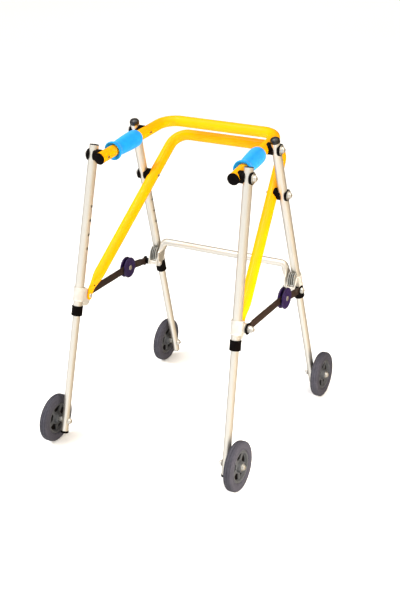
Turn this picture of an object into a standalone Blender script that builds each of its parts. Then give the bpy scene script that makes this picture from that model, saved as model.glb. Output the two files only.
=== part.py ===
"""Pediatric posterior walker: a folding aluminium frame on four wheels, with the U-bars behind the child.

Metres, +Z up. The origin is on the floor, midway between the four wheels. The open side is at -Y, the
U-bars close the frame at +Y, and the child's left and right hands are at +X and -X alike, because the
two sides are mirror images. Every side piece is modelled for the +X side, and the -X one is its mirror.
"""

import math

import bmesh
import bpy
from mathutils import Matrix, Vector

MM = 0.001

# Play left between two pieces that touch, and between a turning pin and its hole
GAP = 0.3 * MM
PIN_PLAY = 0.4 * MM

# Wheels
WHEEL_DIAMETER = 125 * MM
TYRE_WIDTH = 22 * MM
TYRE_DEPTH = 22 * MM
TREAD_FLAT = 10 * MM
WHEEL_SIDES = 24
HUB_WIDTH = 25 * MM
HUB_RIM_WIDTH = 17 * MM
HUB_RIM_DEPTH = 5 * MM
HUB_BOSS_DIAMETER = 30 * MM
HUB_WEB = 7 * MM
HUB_WINDOWS = 5
HUB_WINDOW_DIAMETER = 14 * MM
AXLE_DIAMETER = 8 * MM
AXLE_SPACER = 8 * MM

# Stance: distances between wheel centres, and how far the legs spread and lean
REAR_TRACK = 498 * MM
FRONT_WIDER = 23 * MM
FRONT_TRACK = REAR_TRACK + FRONT_WIDER
WHEELBASE = 568 * MM
SPLAY = math.radians(1.84)
FRONT_LEAN = math.radians(10.9)
REAR_LEAN = math.radians(19.95)

# Leg tubes, with heights measured along the leg from the axle
TUBE_SIDES = 12
UPPER_TUBE = 22.8 * MM
UPPER_WALL = 1.2 * MM
TELESCOPE_PLAY = 0.7 * MM
LOWER_TUBE = UPPER_TUBE - 2 * UPPER_WALL - 2 * TELESCOPE_PLAY
LOWER_WALL = 1.5 * MM
FRONT_LEG_TOP = 711 * MM
REAR_LEG_TOP = 762 * MM
UPPER_TUBE_START = 292 * MM
LOWER_LEG_TOP = 447 * MM
LEG_BELOW_AXLE = 30 * MM
BUTTON_HEIGHT = 419 * MM
HOLE_PITCH = 35.5 * MM
HOLE_COUNT = 5
HOLE_DIAMETER = 7 * MM
BUTTON_DIAMETER = 6 * MM
BUTTON_PROUD = 0.4 * MM
BUTTON_LENGTH = 6 * MM
BUTTON_FLANGE = 8 * MM

# Nylon collar at the lower end of each upper tube, end plugs and caps
COLLAR_START = 281 * MM
COLLAR_LENGTH = 25 * MM
COLLAR_WALL = 2.8 * MM
COLLAR_DIAMETER = UPPER_TUBE + 2 * COLLAR_WALL
COLLAR_LIP = 10 * MM
TIP_THICKNESS = 3.5 * MM
CAP_LIP = 1.1 * MM
CAP_DIAMETER = UPPER_TUBE + 2 * CAP_LIP
CAP_THICKNESS = 4.5 * MM
TOP_PLUG_THICKNESS = 1.2 * MM
PLUG_STEM = 14 * MM

# Yellow U-bars
BAR = 28 * MM
BAR_WALL = 2 * MM
SADDLE = 4.5 * MM
HANDLE_PIVOT = 687 * MM
REAR_TOP_PIVOT = 742 * MM
REAR_MID_PIVOT = 609 * MM
HANDLE_OVERHANG = 18 * MM
HANDLE_BEHIND_LEGS = 99 * MM
LOWER_BAR_BEHIND_LEGS = 97 * MM
BAR_BEND = 45 * MM
BAR_SIDES = 12
TONGUE_THICKNESS = 5 * MM
TONGUE_WIDTH = 26 * MM
TONGUE_OVERHANG = 16 * MM
TONGUE_LENGTH = 17 * MM
TONGUE_LEAN = math.radians(21)
TONGUE_SET = 7.5 * MM
FOOT_BEHIND_LUG = 37 * MM
FOOT_ABOVE_LUG = 50 * MM

# Foam grips on the handle bar, measured along it from the front pivot
GRIP_START = 36 * MM
GRIP_LENGTH = 110 * MM
FLANGE_FOAM = 11 * MM
NECK_FOAM = 5 * MM
BELLY_FOAM = 8 * MM
END_FOAM = 2.5 * MM
GRIP_FLANGE = BAR + 2 * FLANGE_FOAM
GRIP_NECK = BAR + 2 * NECK_FOAM
GRIP_BELLY = BAR + 2 * BELLY_FOAM
GRIP_END = BAR + 2 * END_FOAM
GRIP_SIDES = 16

# Pivot bolts with their saddle spacers
BOLT = 6 * MM
SADDLE_DIAMETER = 30 * MM
OUTER_SADDLE = 3 * MM
SADDLE_WRAP = 0.45
BOLT_HEAD = 10 * MM
BOLT_HEAD_HEIGHT = 2.2 * MM
NUT = 13 * MM
NUT_HEIGHT = 8 * MM
WASHER = 17 * MM
WASHER_THICKNESS = 1.2 * MM

# Front bracket: a sleeve on the front leg with a lug behind it
SLEEVE_WALL = 3 * MM
FRONT_SLEEVE_START = 319 * MM
FRONT_SLEEVE_LENGTH = 35 * MM
LUG_HEIGHT = 327.4 * MM
LUG_REACH = 41.8 * MM
LUG_THICKNESS = 5 * MM
LUG_RADIUS = 14 * MM
STUD = 8 * MM
FRONT_SPACER = 28 * MM
REAR_SPACER = 16 * MM
STAY_WASHER = 5.5 * MM

# Rear bracket: a sleeve on the rear leg with a ribbed block in front of it
REAR_SLEEVE_START = 311 * MM
REAR_SLEEVE_LENGTH = 42 * MM
STAY_REAR_REACH = 35.3 * MM
STAY_REAR_HEIGHT = 333.7 * MM
BLOCK_RADIUS = 9 * MM
BLOCK_RISE = 28 * MM
BLOCK_RIBS = 3
RIB_DEPTH = 1.5 * MM

# Rear crossbar with flattened, bent-down ends
CROSSBAR = 19 * MM
CROSSBAR_WALL = 1.5 * MM
CROSSBAR_ABOVE_STAY = 61 * MM
CROSSBAR_BEHIND_STAY = 13 * MM
CROSSBAR_BEND = 13 * MM
CROSSBAR_DROP = 31 * MM
CROSSBAR_FLAT = 5 * MM
CROSSBAR_FLAT_WIDTH = 29 * MM
CROSSBAR_FOOT_WIDTH = 20 * MM
CROSSBAR_SIDES = 12

# Folding stays: two flat links a side, joined at the knob
STRIP = 3 * MM
STRIP_WIDTH = 18 * MM
SLEEVED_THICKNESS = 4.4 * MM
SLEEVED_WIDTH = 19.5 * MM
STAY_END_BARE = 28 * MM
REAR_LINK_REACH = 101 * MM
REAR_LINK_RISE = 14 * MM
KNOB = 56 * MM
KNOB_THICKNESS = 5.5 * MM
KNOB_SIDES = 18
KNOB_CENTRE = 13 * MM

SIDES = {"left": 1, "right": -1}
MIRROR_X = Matrix.Diagonal((-1, 1, 1, 1))


# Materials
def finish(name, colour, roughness, metallic):
    material = bpy.data.materials.new(name)
    material.use_nodes = True
    shader = material.node_tree.nodes["Principled BSDF"]
    shader.inputs["Base Color"].default_value = (*colour, 1)
    shader.inputs["Roughness"].default_value = roughness
    shader.inputs["Metallic"].default_value = metallic
    return material


for old in list(bpy.data.objects):
    bpy.data.objects.remove(old, do_unlink=True)

ALUMINIUM = finish("satin aluminium", (0.82, 0.80, 0.76), 0.35, 0.9)
YELLOW = finish("yellow powder coat", (1.0, 0.68, 0.01), 0.3, 0.0)
BLACK = finish("black nylon", (0.015, 0.013, 0.012), 0.45, 0.0)
FOAM = finish("blue foam", (0.02, 0.36, 0.9), 0.75, 0.0)
RUBBER = finish("grey rubber", (0.09, 0.09, 0.1), 0.7, 0.0)
HUB_PLASTIC = finish("dark hub plastic", (0.05, 0.05, 0.05), 0.5, 0.0)
CHROME = finish("chrome", (0.8, 0.8, 0.8), 0.12, 1.0)
KNOB_PLASTIC = finish("purple knob plastic", (0.03, 0.012, 0.07), 0.35, 0.0)
STAY_PAINT = finish("black stay", (0.02, 0.016, 0.014), 0.5, 0.2)


# Mesh helpers
def ring(bm, points):
    return [bm.verts.new(point) for point in points]


def circle(radius, sides, turn=0.5):
    """Points of a polygon whose flats, not its corners, lie on the radius when turn is 0.5."""
    corner = radius / math.cos(math.pi / sides)
    angles = [2 * math.pi * (step + turn) / sides for step in range(sides)]
    return [(corner * math.cos(angle), corner * math.sin(angle)) for angle in angles]


def skin(bm, first, second):
    for index in range(len(first)):
        after = (index + 1) % len(first)
        bm.faces.new((first[index], first[after], second[after], second[index]))


def turned(outline, sides, closed=False):
    """A solid turned about Z from (radius, height) points; a closed outline makes a ring."""
    bm = bmesh.new()
    rings = []
    for radius, height in outline:
        if radius == 0:
            rings.append([bm.verts.new((0, 0, height))] * sides)
        else:
            rings.append(ring(bm, [(x, y, height) for x, y in circle(radius, sides)]))
    pairs = list(zip(rings, rings[1:]))
    if closed:
        pairs.append((rings[-1], rings[0]))
    for first, second in pairs:
        for index in range(sides):
            after = (index + 1) % sides
            corners = [first[index], first[after], second[after], second[index]]
            corners = list(dict.fromkeys(corners))
            if len(corners) > 2:
                bm.faces.new(corners)
    bmesh.ops.recalc_face_normals(bm, faces=bm.faces)
    return bm


def prism(outline, low, high):
    """A solid with a (y, z) outline, from x = low to x = high."""
    bm = bmesh.new()
    near = ring(bm, [(low, y, z) for y, z in outline])
    far = ring(bm, [(high, y, z) for y, z in outline])
    skin(bm, near, far)
    bm.faces.new(near)
    bm.faces.new(far)
    bmesh.ops.recalc_face_normals(bm, faces=bm.faces)
    return bm


def about_x(bm):
    """Turns a shape made about Z so that its axis is X."""
    bmesh.ops.rotate(bm, verts=bm.verts, matrix=Matrix.Rotation(math.pi / 2, 3, "Y"))
    return bm


def shifted(bm, x=0, y=0, z=0):
    bmesh.ops.translate(bm, verts=bm.verts, vec=(x, y, z))
    return bm


def join_meshes(parts):
    """One mesh that holds several separate closed shapes."""
    whole = bmesh.new()
    for part in parts:
        mesh = bpy.data.meshes.new("piece")
        part.to_mesh(mesh)
        part.free()
        whole.from_mesh(mesh)
        bpy.data.meshes.remove(mesh)
    return whole


def place(name, bm, frame, side, material):
    """Makes an object; on the right-hand side its shape and its place are mirrored in X."""
    if side < 0:
        bmesh.ops.scale(bm, verts=bm.verts, vec=(-1, 1, 1))
        bmesh.ops.reverse_faces(bm, faces=bm.faces)
        frame = MIRROR_X @ frame @ MIRROR_X
    mesh = bpy.data.meshes.new(name)
    bm.to_mesh(mesh)
    bm.free()
    mesh.shade_smooth()
    mesh.set_sharp_from_angle(angle=math.radians(35))
    mesh.materials.append(material)
    obj = bpy.data.objects.new(name, mesh)
    bpy.context.scene.collection.objects.link(obj)
    obj.matrix_world = frame
    return obj


def helper(name, bm, frame, side):
    """A shape that cuts or joins another one, and is no piece itself."""
    obj = place(name, bm, frame, side, BLACK)
    obj.hide_render = True
    obj.display_type = "WIRE"
    return obj


def boolean(target, tool, operation):
    modifier = target.modifiers.new(tool.name, "BOOLEAN")
    modifier.operation = operation
    modifier.solver = "EXACT"
    modifier.object = tool


def rod(radius, low, high, sides=12):
    """A plain round bar about Z."""
    return turned([(0, low), (radius, low), (radius, high), (0, high)], sides)


# Frames that place the pieces
def frame_of(origin, x_axis, z_axis):
    y_axis = z_axis.cross(x_axis)
    frame = Matrix((x_axis, y_axis, z_axis)).transposed().to_4x4()
    frame.translation = origin
    return frame


WHEEL_OUT = Vector((math.cos(SPLAY), 0, math.sin(SPLAY)))
WHEEL_UP = Vector((-math.sin(SPLAY), 0, math.cos(SPLAY)))
WHEEL_RADIUS = WHEEL_DIAMETER / 2
WHEEL_OFFSET = LOWER_TUBE / 2 + AXLE_SPACER + HUB_WIDTH / 2 + 2 * GAP
WHEEL_CENTRE_Z = WHEEL_RADIUS * math.cos(SPLAY) + TREAD_FLAT / 2 * math.sin(SPLAY)
LEG_OUT = WHEEL_OUT


def wheel_frame(track, y):
    return frame_of(Vector((track / 2, y, WHEEL_CENTRE_Z)), WHEEL_OUT, WHEEL_UP)


def leg_frame(wheel, lean):
    """Origin on the leg's centreline at the axle, Z up the leg, X straight outboard along the axle."""
    origin = wheel.translation - WHEEL_OUT * WHEEL_OFFSET
    up = Vector((-math.tan(SPLAY), math.tan(lean), 1)).normalized()
    return frame_of(origin, LEG_OUT, up)


FRONT_WHEEL = wheel_frame(FRONT_TRACK, -WHEELBASE / 2)
REAR_WHEEL = wheel_frame(REAR_TRACK, WHEELBASE / 2)
FRONT_LEG = leg_frame(FRONT_WHEEL, FRONT_LEAN)
REAR_LEG = leg_frame(REAR_WHEEL, -REAR_LEAN)


def on_leg(leg, height, behind=0):
    """A point on a leg's centreline, or that far behind it at right angles."""
    along = leg.to_3x3() @ Vector((0, 0, height))
    backward = Vector((1, 0, 0)).cross(leg.to_3x3() @ Vector((0, 0, 1))).normalized()
    return leg.translation + along - backward * behind


HANDLE_PIN = on_leg(FRONT_LEG, HANDLE_PIVOT)
REAR_TOP_PIN = on_leg(REAR_LEG, REAR_TOP_PIVOT)
REAR_MID_PIN = on_leg(REAR_LEG, REAR_MID_PIVOT)
LUG_PIN = on_leg(FRONT_LEG, LUG_HEIGHT, LUG_REACH)
STAY_REAR_PIN = on_leg(REAR_LEG, STAY_REAR_HEIGHT, -STAY_REAR_REACH)
ELBOW_PIN = Vector((0, STAY_REAR_PIN.y - REAR_LINK_REACH, STAY_REAR_PIN.z + REAR_LINK_RISE))
CROSSBAR_Y = STAY_REAR_PIN.y + CROSSBAR_BEHIND_STAY
CROSSBAR_Z = STAY_REAR_PIN.z + CROSSBAR_ABOVE_STAY

# Planes across the stay, from the lug outwards
LUG_X = LUG_PIN.x - 1.4 * MM
LUG_OUTER_X = LUG_X + LUG_THICKNESS / 2
TONGUE_X = LUG_X - LUG_THICKNESS / 2 - GAP - TONGUE_THICKNESS / 2
FRONT_STRIP_X = LUG_OUTER_X + STAY_WASHER + GAP
REAR_STRIP_X = FRONT_STRIP_X + STRIP + GAP
NUT_X = REAR_STRIP_X + STRIP + GAP

PIVOT_OFFSET = UPPER_TUBE / 2 + SADDLE + BAR / 2


# Wheels
def tyre_outline():
    radius = WHEEL_RADIUS
    half = TYRE_WIDTH / 2
    bore = radius - TYRE_DEPTH
    bead = HUB_RIM_WIDTH / 2
    return [
        (bore + GAP, -bead),
        (bore + 3 * MM, -half),
        (radius - 5 * MM, -half),
        (radius - 1.2 * MM, -half + 2.6 * MM),
        (radius, -TREAD_FLAT / 2),
        (radius, TREAD_FLAT / 2),
        (radius - 1.2 * MM, half - 2.6 * MM),
        (radius - 5 * MM, half),
        (bore + 3 * MM, half),
        (bore + GAP, bead),
    ]


def hub_outline():
    rim = WHEEL_RADIUS - TYRE_DEPTH
    bore = AXLE_DIAMETER / 2 + PIN_PLAY
    boss = HUB_BOSS_DIAMETER / 2
    return [
        (bore, -HUB_WIDTH / 2),
        (boss - 2 * MM, -HUB_WIDTH / 2),
        (boss, -HUB_WEB / 2),
        (rim, -HUB_RIM_WIDTH / 2),
        (rim, HUB_RIM_WIDTH / 2),
        (boss, HUB_WEB / 2),
        (boss - 2 * MM, HUB_WIDTH / 2),
        (bore, HUB_WIDTH / 2),
    ]


def make_wheel(end, side_name, side, frame):
    tag = f"{end}_{side_name}"
    place(f"tyre_{tag}", about_x(turned(tyre_outline(), WHEEL_SIDES, True)), frame, side, RUBBER)
    hub = place(f"hub_{tag}", about_x(turned(hub_outline(), WHEEL_SIDES, True)), frame, side, HUB_PLASTIC)
    rim = WHEEL_RADIUS - TYRE_DEPTH - HUB_RIM_DEPTH
    reach = (rim + HUB_BOSS_DIAMETER / 2) / 2
    windows = []
    for index in range(HUB_WINDOWS):
        angle = 2 * math.pi * index / HUB_WINDOWS
        window = about_x(rod(HUB_WINDOW_DIAMETER / 2, -HUB_RIM_WIDTH, HUB_RIM_WIDTH, 6))
        windows.append(shifted(window, y=reach * math.sin(angle), z=reach * math.cos(angle)))
    boolean(hub, helper(f"hub_windows_{tag}", join_meshes(windows), frame, side), "DIFFERENCE")


def make_axle(end, side_name, side, leg):
    """The bolt through leg, spacer and hub, with its nuts, in the leg's frame."""
    radius = AXLE_DIAMETER / 2
    tube = LOWER_TUBE / 2 + GAP
    hub_in = tube + AXLE_SPACER
    hub_out = hub_in + HUB_WIDTH + 2 * GAP
    outline = [
        (0, -tube - NUT_HEIGHT),
        (NUT / 4, -tube - NUT_HEIGHT),
        (NUT / 2, -tube - NUT_HEIGHT * 0.6),
        (NUT / 2, -tube),
        (radius, -tube),
        (radius, tube),
        (7 * MM, tube),
        (7 * MM, hub_in),
        (radius, hub_in),
        (radius, hub_out),
        (NUT / 2, hub_out),
        (NUT / 2, hub_out + NUT_HEIGHT * 0.6),
        (NUT / 4, hub_out + NUT_HEIGHT),
        (0, hub_out + NUT_HEIGHT),
    ]
    place(f"axle_bolt_{end}_{side_name}", about_x(turned(outline, 8)), leg, side, CHROME)


# Telescoping legs
def pipe(outer, wall, low, high, sides=TUBE_SIDES):
    inner = outer - wall
    return turned([(outer, low), (outer, high), (inner, high), (inner, low)], sides, True)


def cross_pin(radius, reach, height, sides=8):
    """A cutter straight across a leg, along its X."""
    return shifted(about_x(rod(radius, -reach, reach, sides)), z=height)


def hole_inboard(diameter, height):
    """A cutter through the inboard wall only."""
    return shifted(about_x(rod(diameter / 2, -UPPER_TUBE, -UPPER_TUBE / 4, 6)), z=height)


def saddle_helper(name, side, pin, low, high, tube_frame, tube_radius):
    """A disc about the pivot's bolt, hollowed to sit round a tube that passes it."""
    disc = about_x(rod(SADDLE_DIAMETER / 2, low, high, 10))
    saddle = helper(name, disc, Matrix.Translation(pin), side)
    cut = rod(tube_radius, -SADDLE_DIAMETER, SADDLE_DIAMETER, TUBE_SIDES)
    boolean(saddle, helper(f"{name}_seat", cut, tube_frame, side), "DIFFERENCE")
    return saddle


def make_upper_leg(end, side_name, side, leg, top, pins):
    tube = pipe(UPPER_TUBE / 2, UPPER_WALL, UPPER_TUBE_START, top)
    upper = place(f"leg_upper_{end}_{side_name}", tube, leg, side, ALUMINIUM)
    for number, pin in enumerate(pins):
        around = leg.copy()
        around.translation = pin
        wrap = UPPER_TUBE / 2 * SADDLE_WRAP
        for part, low, high in (
            ("inner", -UPPER_TUBE / 2 - SADDLE / 2 + GAP / 2, -wrap),
            ("outer", wrap, UPPER_TUBE / 2 + OUTER_SADDLE),
        ):
            name = f"leg_saddle_{part}_{end}_{side_name}_{number}"
            inside_wall = (UPPER_TUBE - UPPER_WALL) / 2
            saddle = saddle_helper(name, side, pin, low, high, around, inside_wall)
            boolean(upper, saddle, "UNION")
    cuts = [
        hole_inboard(HOLE_DIAMETER, BUTTON_HEIGHT + index * HOLE_PITCH)
        for index in range(HOLE_COUNT)
    ]
    adjusting = helper(f"height_holes_{end}_{side_name}", join_meshes(cuts), leg, side)
    boolean(upper, adjusting, "DIFFERENCE")
    for number, pin in enumerate(pins):
        cut = about_x(rod(BOLT / 2 + PIN_PLAY, -UPPER_TUBE, UPPER_TUBE, 8))
        at_pin = Matrix.Translation(pin)
        name = f"leg_pin_hole_{end}_{side_name}_{number}"
        boolean(upper, helper(name, cut, at_pin, side), "DIFFERENCE")


def make_lower_leg(end, side_name, side, leg):
    tag = f"{end}_{side_name}"
    tube = pipe(LOWER_TUBE / 2, LOWER_WALL, -LEG_BELOW_AXLE, LOWER_LEG_TOP)
    lower = place(f"leg_lower_{tag}", tube, leg, side, ALUMINIUM)
    button_hole = hole_inboard(BUTTON_DIAMETER + 2 * PIN_PLAY, BUTTON_HEIGHT)
    axle_hole = cross_pin(AXLE_DIAMETER / 2 + PIN_PLAY, LOWER_TUBE, 0)
    cuts = helper(f"lower_leg_holes_{tag}", join_meshes([button_hole, axle_hole]), leg, side)
    boolean(lower, cuts, "DIFFERENCE")

    tube_radius = LOWER_TUBE / 2
    stem = tube_radius - LOWER_WALL - GAP
    tip = [
        (0, -LEG_BELOW_AXLE - TIP_THICKNESS),
        (tube_radius - 0.5 * MM, -LEG_BELOW_AXLE - TIP_THICKNESS),
        (tube_radius + 0.5 * MM, -LEG_BELOW_AXLE - TIP_THICKNESS + 1 * MM),
        (tube_radius + 0.5 * MM, -LEG_BELOW_AXLE - GAP),
        (stem, -LEG_BELOW_AXLE - GAP),
        (stem, -LEG_BELOW_AXLE + PLUG_STEM),
        (0, -LEG_BELOW_AXLE + PLUG_STEM),
    ]
    place(f"leg_tip_{tag}", turned(tip, TUBE_SIDES), leg, side, BLACK)

    crown = LOWER_TUBE / 2 + BUTTON_PROUD
    flange = LOWER_TUBE / 2 - LOWER_WALL - GAP
    button = [
        (0, -crown),
        (BUTTON_DIAMETER / 2 - 0.8 * MM, -crown),
        (BUTTON_DIAMETER / 2, -crown + 0.3 * MM),
        (BUTTON_DIAMETER / 2, -flange + 1.0 * MM),
        (BUTTON_FLANGE / 2, -flange + 1.0 * MM),
        (BUTTON_FLANGE / 2, -flange + 2.2 * MM),
        (0, -crown + BUTTON_LENGTH),
    ]
    at_button = leg @ Matrix.Translation((0, 0, BUTTON_HEIGHT))
    place(f"snap_button_{tag}", about_x(turned(button, 10)), at_button, side, CHROME)


def make_collar(end, side_name, side, leg):
    outer = COLLAR_DIAMETER / 2
    seat = UPPER_TUBE / 2 + GAP
    throat = LOWER_TUBE / 2 + GAP
    top = COLLAR_START + COLLAR_LENGTH
    outline = [
        (throat, COLLAR_START),
        (outer - 1 * MM, COLLAR_START),
        (outer, COLLAR_START + 1.5 * MM),
        (outer, top - 1.5 * MM),
        (outer - 1 * MM, top),
        (seat, top),
        (seat, COLLAR_START + COLLAR_LIP),
        (throat, COLLAR_START + COLLAR_LIP),
    ]
    place(f"leg_collar_{end}_{side_name}", turned(outline, TUBE_SIDES, True), leg, side, BLACK)


def make_leg_top(end, side_name, side, leg, top, flange, thickness, material):
    stem = UPPER_TUBE / 2 - UPPER_WALL - GAP
    outline = [
        (0, top - PLUG_STEM / 2),
        (stem, top - PLUG_STEM / 2),
        (stem, top + GAP),
        (flange, top + GAP),
        (flange, top + GAP + thickness * 0.6),
        (flange * 0.8, top + GAP + thickness),
        (0, top + GAP + thickness),
    ]
    place(f"leg_cap_{end}_{side_name}", turned(outline, TUBE_SIDES), leg, side, material)


# U-bars and crossbar: a tube of changing section along a bent line
def rounded(points, bend, steps=4):
    """The points of a bent line, with each inner corner turned on an arc of the bend radius."""
    line = [points[0]]
    for before, corner, after in zip(points, points[1:], points[2:]):
        to_before = (before - corner).normalized()
        to_after = (after - corner).normalized()
        half = to_before.angle(to_after) / 2
        reach = bend / math.tan(half)
        middle = (to_before + to_after).normalized()
        centre = corner + middle * (bend / math.sin(half))
        start = corner + to_before * reach - centre
        turn = math.pi - 2 * half
        axis = start.cross(corner + to_after * reach - centre).normalized()
        for step in range(steps + 1):
            line.append(centre + Matrix.Rotation(turn * step / steps, 3, axis) @ start)
    line.append(points[-1])
    return line


def swept(line, normal, outer, inner, sides):
    """A hollow tube; outer and inner give (half across, half along the normal) at each point."""
    bm = bmesh.new()
    shells = []
    for sizes in (outer, inner):
        rings = []
        for index, point in enumerate(line):
            before = line[max(index - 1, 0)]
            after = line[min(index + 1, len(line) - 1)]
            into = (point - before).normalized()
            out_of = (after - point).normalized()
            tangent = (into + out_of).normalized()
            across = normal.cross(tangent).normalized()
            half_across, half_up = sizes[index]
            bend = max(0.2, tangent.dot(out_of if out_of.length else tangent))
            points = [
                point + across * (x * half_across / bend) + normal * (y * half_up)
                for x, y in circle(1, sides)
            ]
            rings.append(ring(bm, points))
        for first, second in zip(rings, rings[1:]):
            skin(bm, first, second)
        shells.append(rings)
    for end in (0, -1):
        skin(bm, shells[0][end], shells[1][end])
    bmesh.ops.recalc_face_normals(bm, faces=bm.faces)
    return bm


def both_sides(half_line):
    """A line that is known from its +X end to the middle, continued to its -X end."""
    mirrored = [Vector((-point.x, point.y, point.z)) for point in reversed(half_line)]
    return half_line + mirrored


def bolt_cutters(name, pin, target, radius, reach):
    for side_name, side in SIDES.items():
        cut = about_x(rod(radius, -reach, reach, 8))
        boolean(target, helper(f"{name}_{side_name}", cut, Matrix.Translation(pin), side), "DIFFERENCE")


def handle_arm(y):
    """The handle bar's centreline beside the frame, at a distance y along the walker."""
    front = HANDLE_PIN - Vector((PIVOT_OFFSET, 0, 0))
    rear = REAR_TOP_PIN - Vector((PIVOT_OFFSET, 0, 0))
    return front.lerp(rear, (y - front.y) / (rear.y - front.y))


def handle_direction():
    return (handle_arm(1) - handle_arm(0)).normalized()


def make_handle_bar():
    front = handle_arm(HANDLE_PIN.y) - handle_direction() * HANDLE_OVERHANG
    corners = both_sides([front, handle_arm(REAR_TOP_PIN.y + HANDLE_BEHIND_LEGS)])
    line = rounded(corners, BAR_BEND)
    normal = (corners[1] - corners[0]).cross(corners[2] - corners[1]).normalized()
    outer = [(BAR / 2, BAR / 2)] * len(line)
    inner = [(BAR / 2 - BAR_WALL, BAR / 2 - BAR_WALL)] * len(line)
    bar = place("handle_bar", swept(line, normal, outer, inner, BAR_SIDES), Matrix(), 1, YELLOW)
    for name, pin in (("handle_front_hole", HANDLE_PIN), ("handle_rear_hole", REAR_TOP_PIN)):
        bolt_cutters(name, pin, bar, BOLT / 2 + PIN_PLAY, 60 * MM)


def lower_arm_line():
    """From below the lug, past the mid pivot, to the rear: the +X half of the lower bar."""
    lug = Vector((TONGUE_X, LUG_PIN.y, LUG_PIN.z))
    foot = lug + Vector((-TONGUE_SET, FOOT_BEHIND_LUG, FOOT_ABOVE_LUG))
    middle = REAR_MID_PIN - Vector((PIVOT_OFFSET, 0, 0))
    up = Vector((0, math.sin(TONGUE_LEAN), math.cos(TONGUE_LEAN)))
    tip = lug - up * TONGUE_OVERHANG
    tongue_end = lug + up * TONGUE_LENGTH
    rear = middle.y + LOWER_BAR_BEHIND_LEGS
    to_rear = (rear - foot.y) / (middle.y - foot.y)
    return tip, tongue_end, foot, foot.lerp(middle, to_rear)


def make_lower_bar():
    tip, tongue_end, foot, corner = lower_arm_line()
    bend = rounded(both_sides([foot, corner]), BAR_BEND)
    line = [tip, tongue_end] + bend + both_sides([tip, tongue_end])[2:]
    normal = (corner - foot).cross(Vector((-1, 0, 0))).normalized()
    flat = (TONGUE_THICKNESS / 2, TONGUE_WIDTH / 2)
    slit = (0.5 * MM, TONGUE_WIDTH / 2 - BAR_WALL)
    round_outer = (BAR / 2, BAR / 2)
    round_inner = (BAR / 2 - BAR_WALL, BAR / 2 - BAR_WALL)
    outer = [flat, flat] + [round_outer] * len(bend) + [flat, flat]
    inner = [slit, slit] + [round_inner] * len(bend) + [slit, slit]
    bar = place("lower_bar", swept(line, normal, outer, inner, BAR_SIDES), Matrix(), 1, YELLOW)
    bolt_cutters("lower_bar_hole", REAR_MID_PIN, bar, BOLT / 2 + PIN_PLAY, 60 * MM)


def make_crossbar():
    plate_x = REAR_BLOCK_INNER_X - GAP - CROSSBAR_FLAT / 2
    tube_x = plate_x + CROSSBAR_FLAT / 2 - CROSSBAR / 2
    foot = Vector((plate_x, STAY_REAR_PIN.y, STAY_REAR_PIN.z - BLOCK_RADIUS))
    knee = Vector((plate_x, CROSSBAR_Y + 1 * MM, CROSSBAR_Z - CROSSBAR_DROP))
    hip = Vector((tube_x, CROSSBAR_Y, CROSSBAR_Z - CROSSBAR_BEND - 1 * MM))
    corner = Vector((tube_x, CROSSBAR_Y, CROSSBAR_Z))
    bend = rounded(both_sides([hip, corner]), CROSSBAR_BEND)
    line = [foot, knee] + bend + both_sides([foot, knee])[2:]
    radius = CROSSBAR / 2
    hollow = radius - CROSSBAR_WALL
    wide = (CROSSBAR_FLAT / 2, CROSSBAR_FLAT_WIDTH / 2)
    narrow = (CROSSBAR_FLAT / 2, CROSSBAR_FOOT_WIDTH / 2)
    wide_slit = (0.5 * MM, CROSSBAR_FLAT_WIDTH / 2 - CROSSBAR_WALL)
    narrow_slit = (0.5 * MM, CROSSBAR_FOOT_WIDTH / 2 - CROSSBAR_WALL)
    outer = [narrow, wide] + [(radius, radius)] * len(bend) + [wide, narrow]
    inner = [narrow_slit, wide_slit] + [(hollow, hollow)] * len(bend) + [wide_slit, narrow_slit]
    normal = Vector((0, 1, 0))
    tube = swept(line, normal, outer, inner, CROSSBAR_SIDES)
    bar = place("rear_crossbar", tube, Matrix(), 1, ALUMINIUM)
    bolt_cutters("crossbar_hole", STAY_REAR_PIN, bar, STUD / 2 + PIN_PLAY, 60 * MM)


def make_handle_end(side_name, side):
    """The plug in the handle bar's open end, and the foam grip; both lie along the arm."""
    start = handle_arm(HANDLE_PIN.y)
    direction = handle_direction()
    outward = Vector((1, 0, 0))
    outward = (outward - direction * outward.dot(direction)).normalized()
    frame = frame_of(start, outward, direction)
    stem = BAR / 2 - BAR_WALL - GAP
    end = -HANDLE_OVERHANG - GAP
    plug = [
        (0, end - 3.5 * MM),
        (BAR / 2 - 1 * MM, end - 3.5 * MM),
        (BAR / 2 + 1 * MM, end - 2 * MM),
        (BAR / 2 + 1 * MM, end),
        (stem, end),
        (stem, end + 10 * MM),
        (0, end + 10 * MM),
    ]
    place(f"handle_plug_{side_name}", turned(plug, BAR_SIDES), frame, side, BLACK)

    bore = BAR / 2 / math.cos(math.pi / BAR_SIDES) + GAP
    profile = [
        (0.00, GRIP_FLANGE - 3 * MM),
        (0.03, GRIP_FLANGE),
        (0.07, GRIP_FLANGE - 1 * MM),
        (0.11, GRIP_NECK),
        (0.25, GRIP_NECK + 1 * MM),
        (0.55, GRIP_BELLY - 1 * MM),
        (0.80, GRIP_BELLY),
        (0.95, GRIP_BELLY - 4 * MM),
        (1.00, GRIP_END),
    ]
    outline = [(bore, GRIP_START)]
    outline += [(across / 2, GRIP_START + share * GRIP_LENGTH) for share, across in profile]
    outline += [(bore, GRIP_START + GRIP_LENGTH)]
    place(f"grip_{side_name}", turned(outline, GRIP_SIDES, True), frame, side, FOAM)


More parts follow.
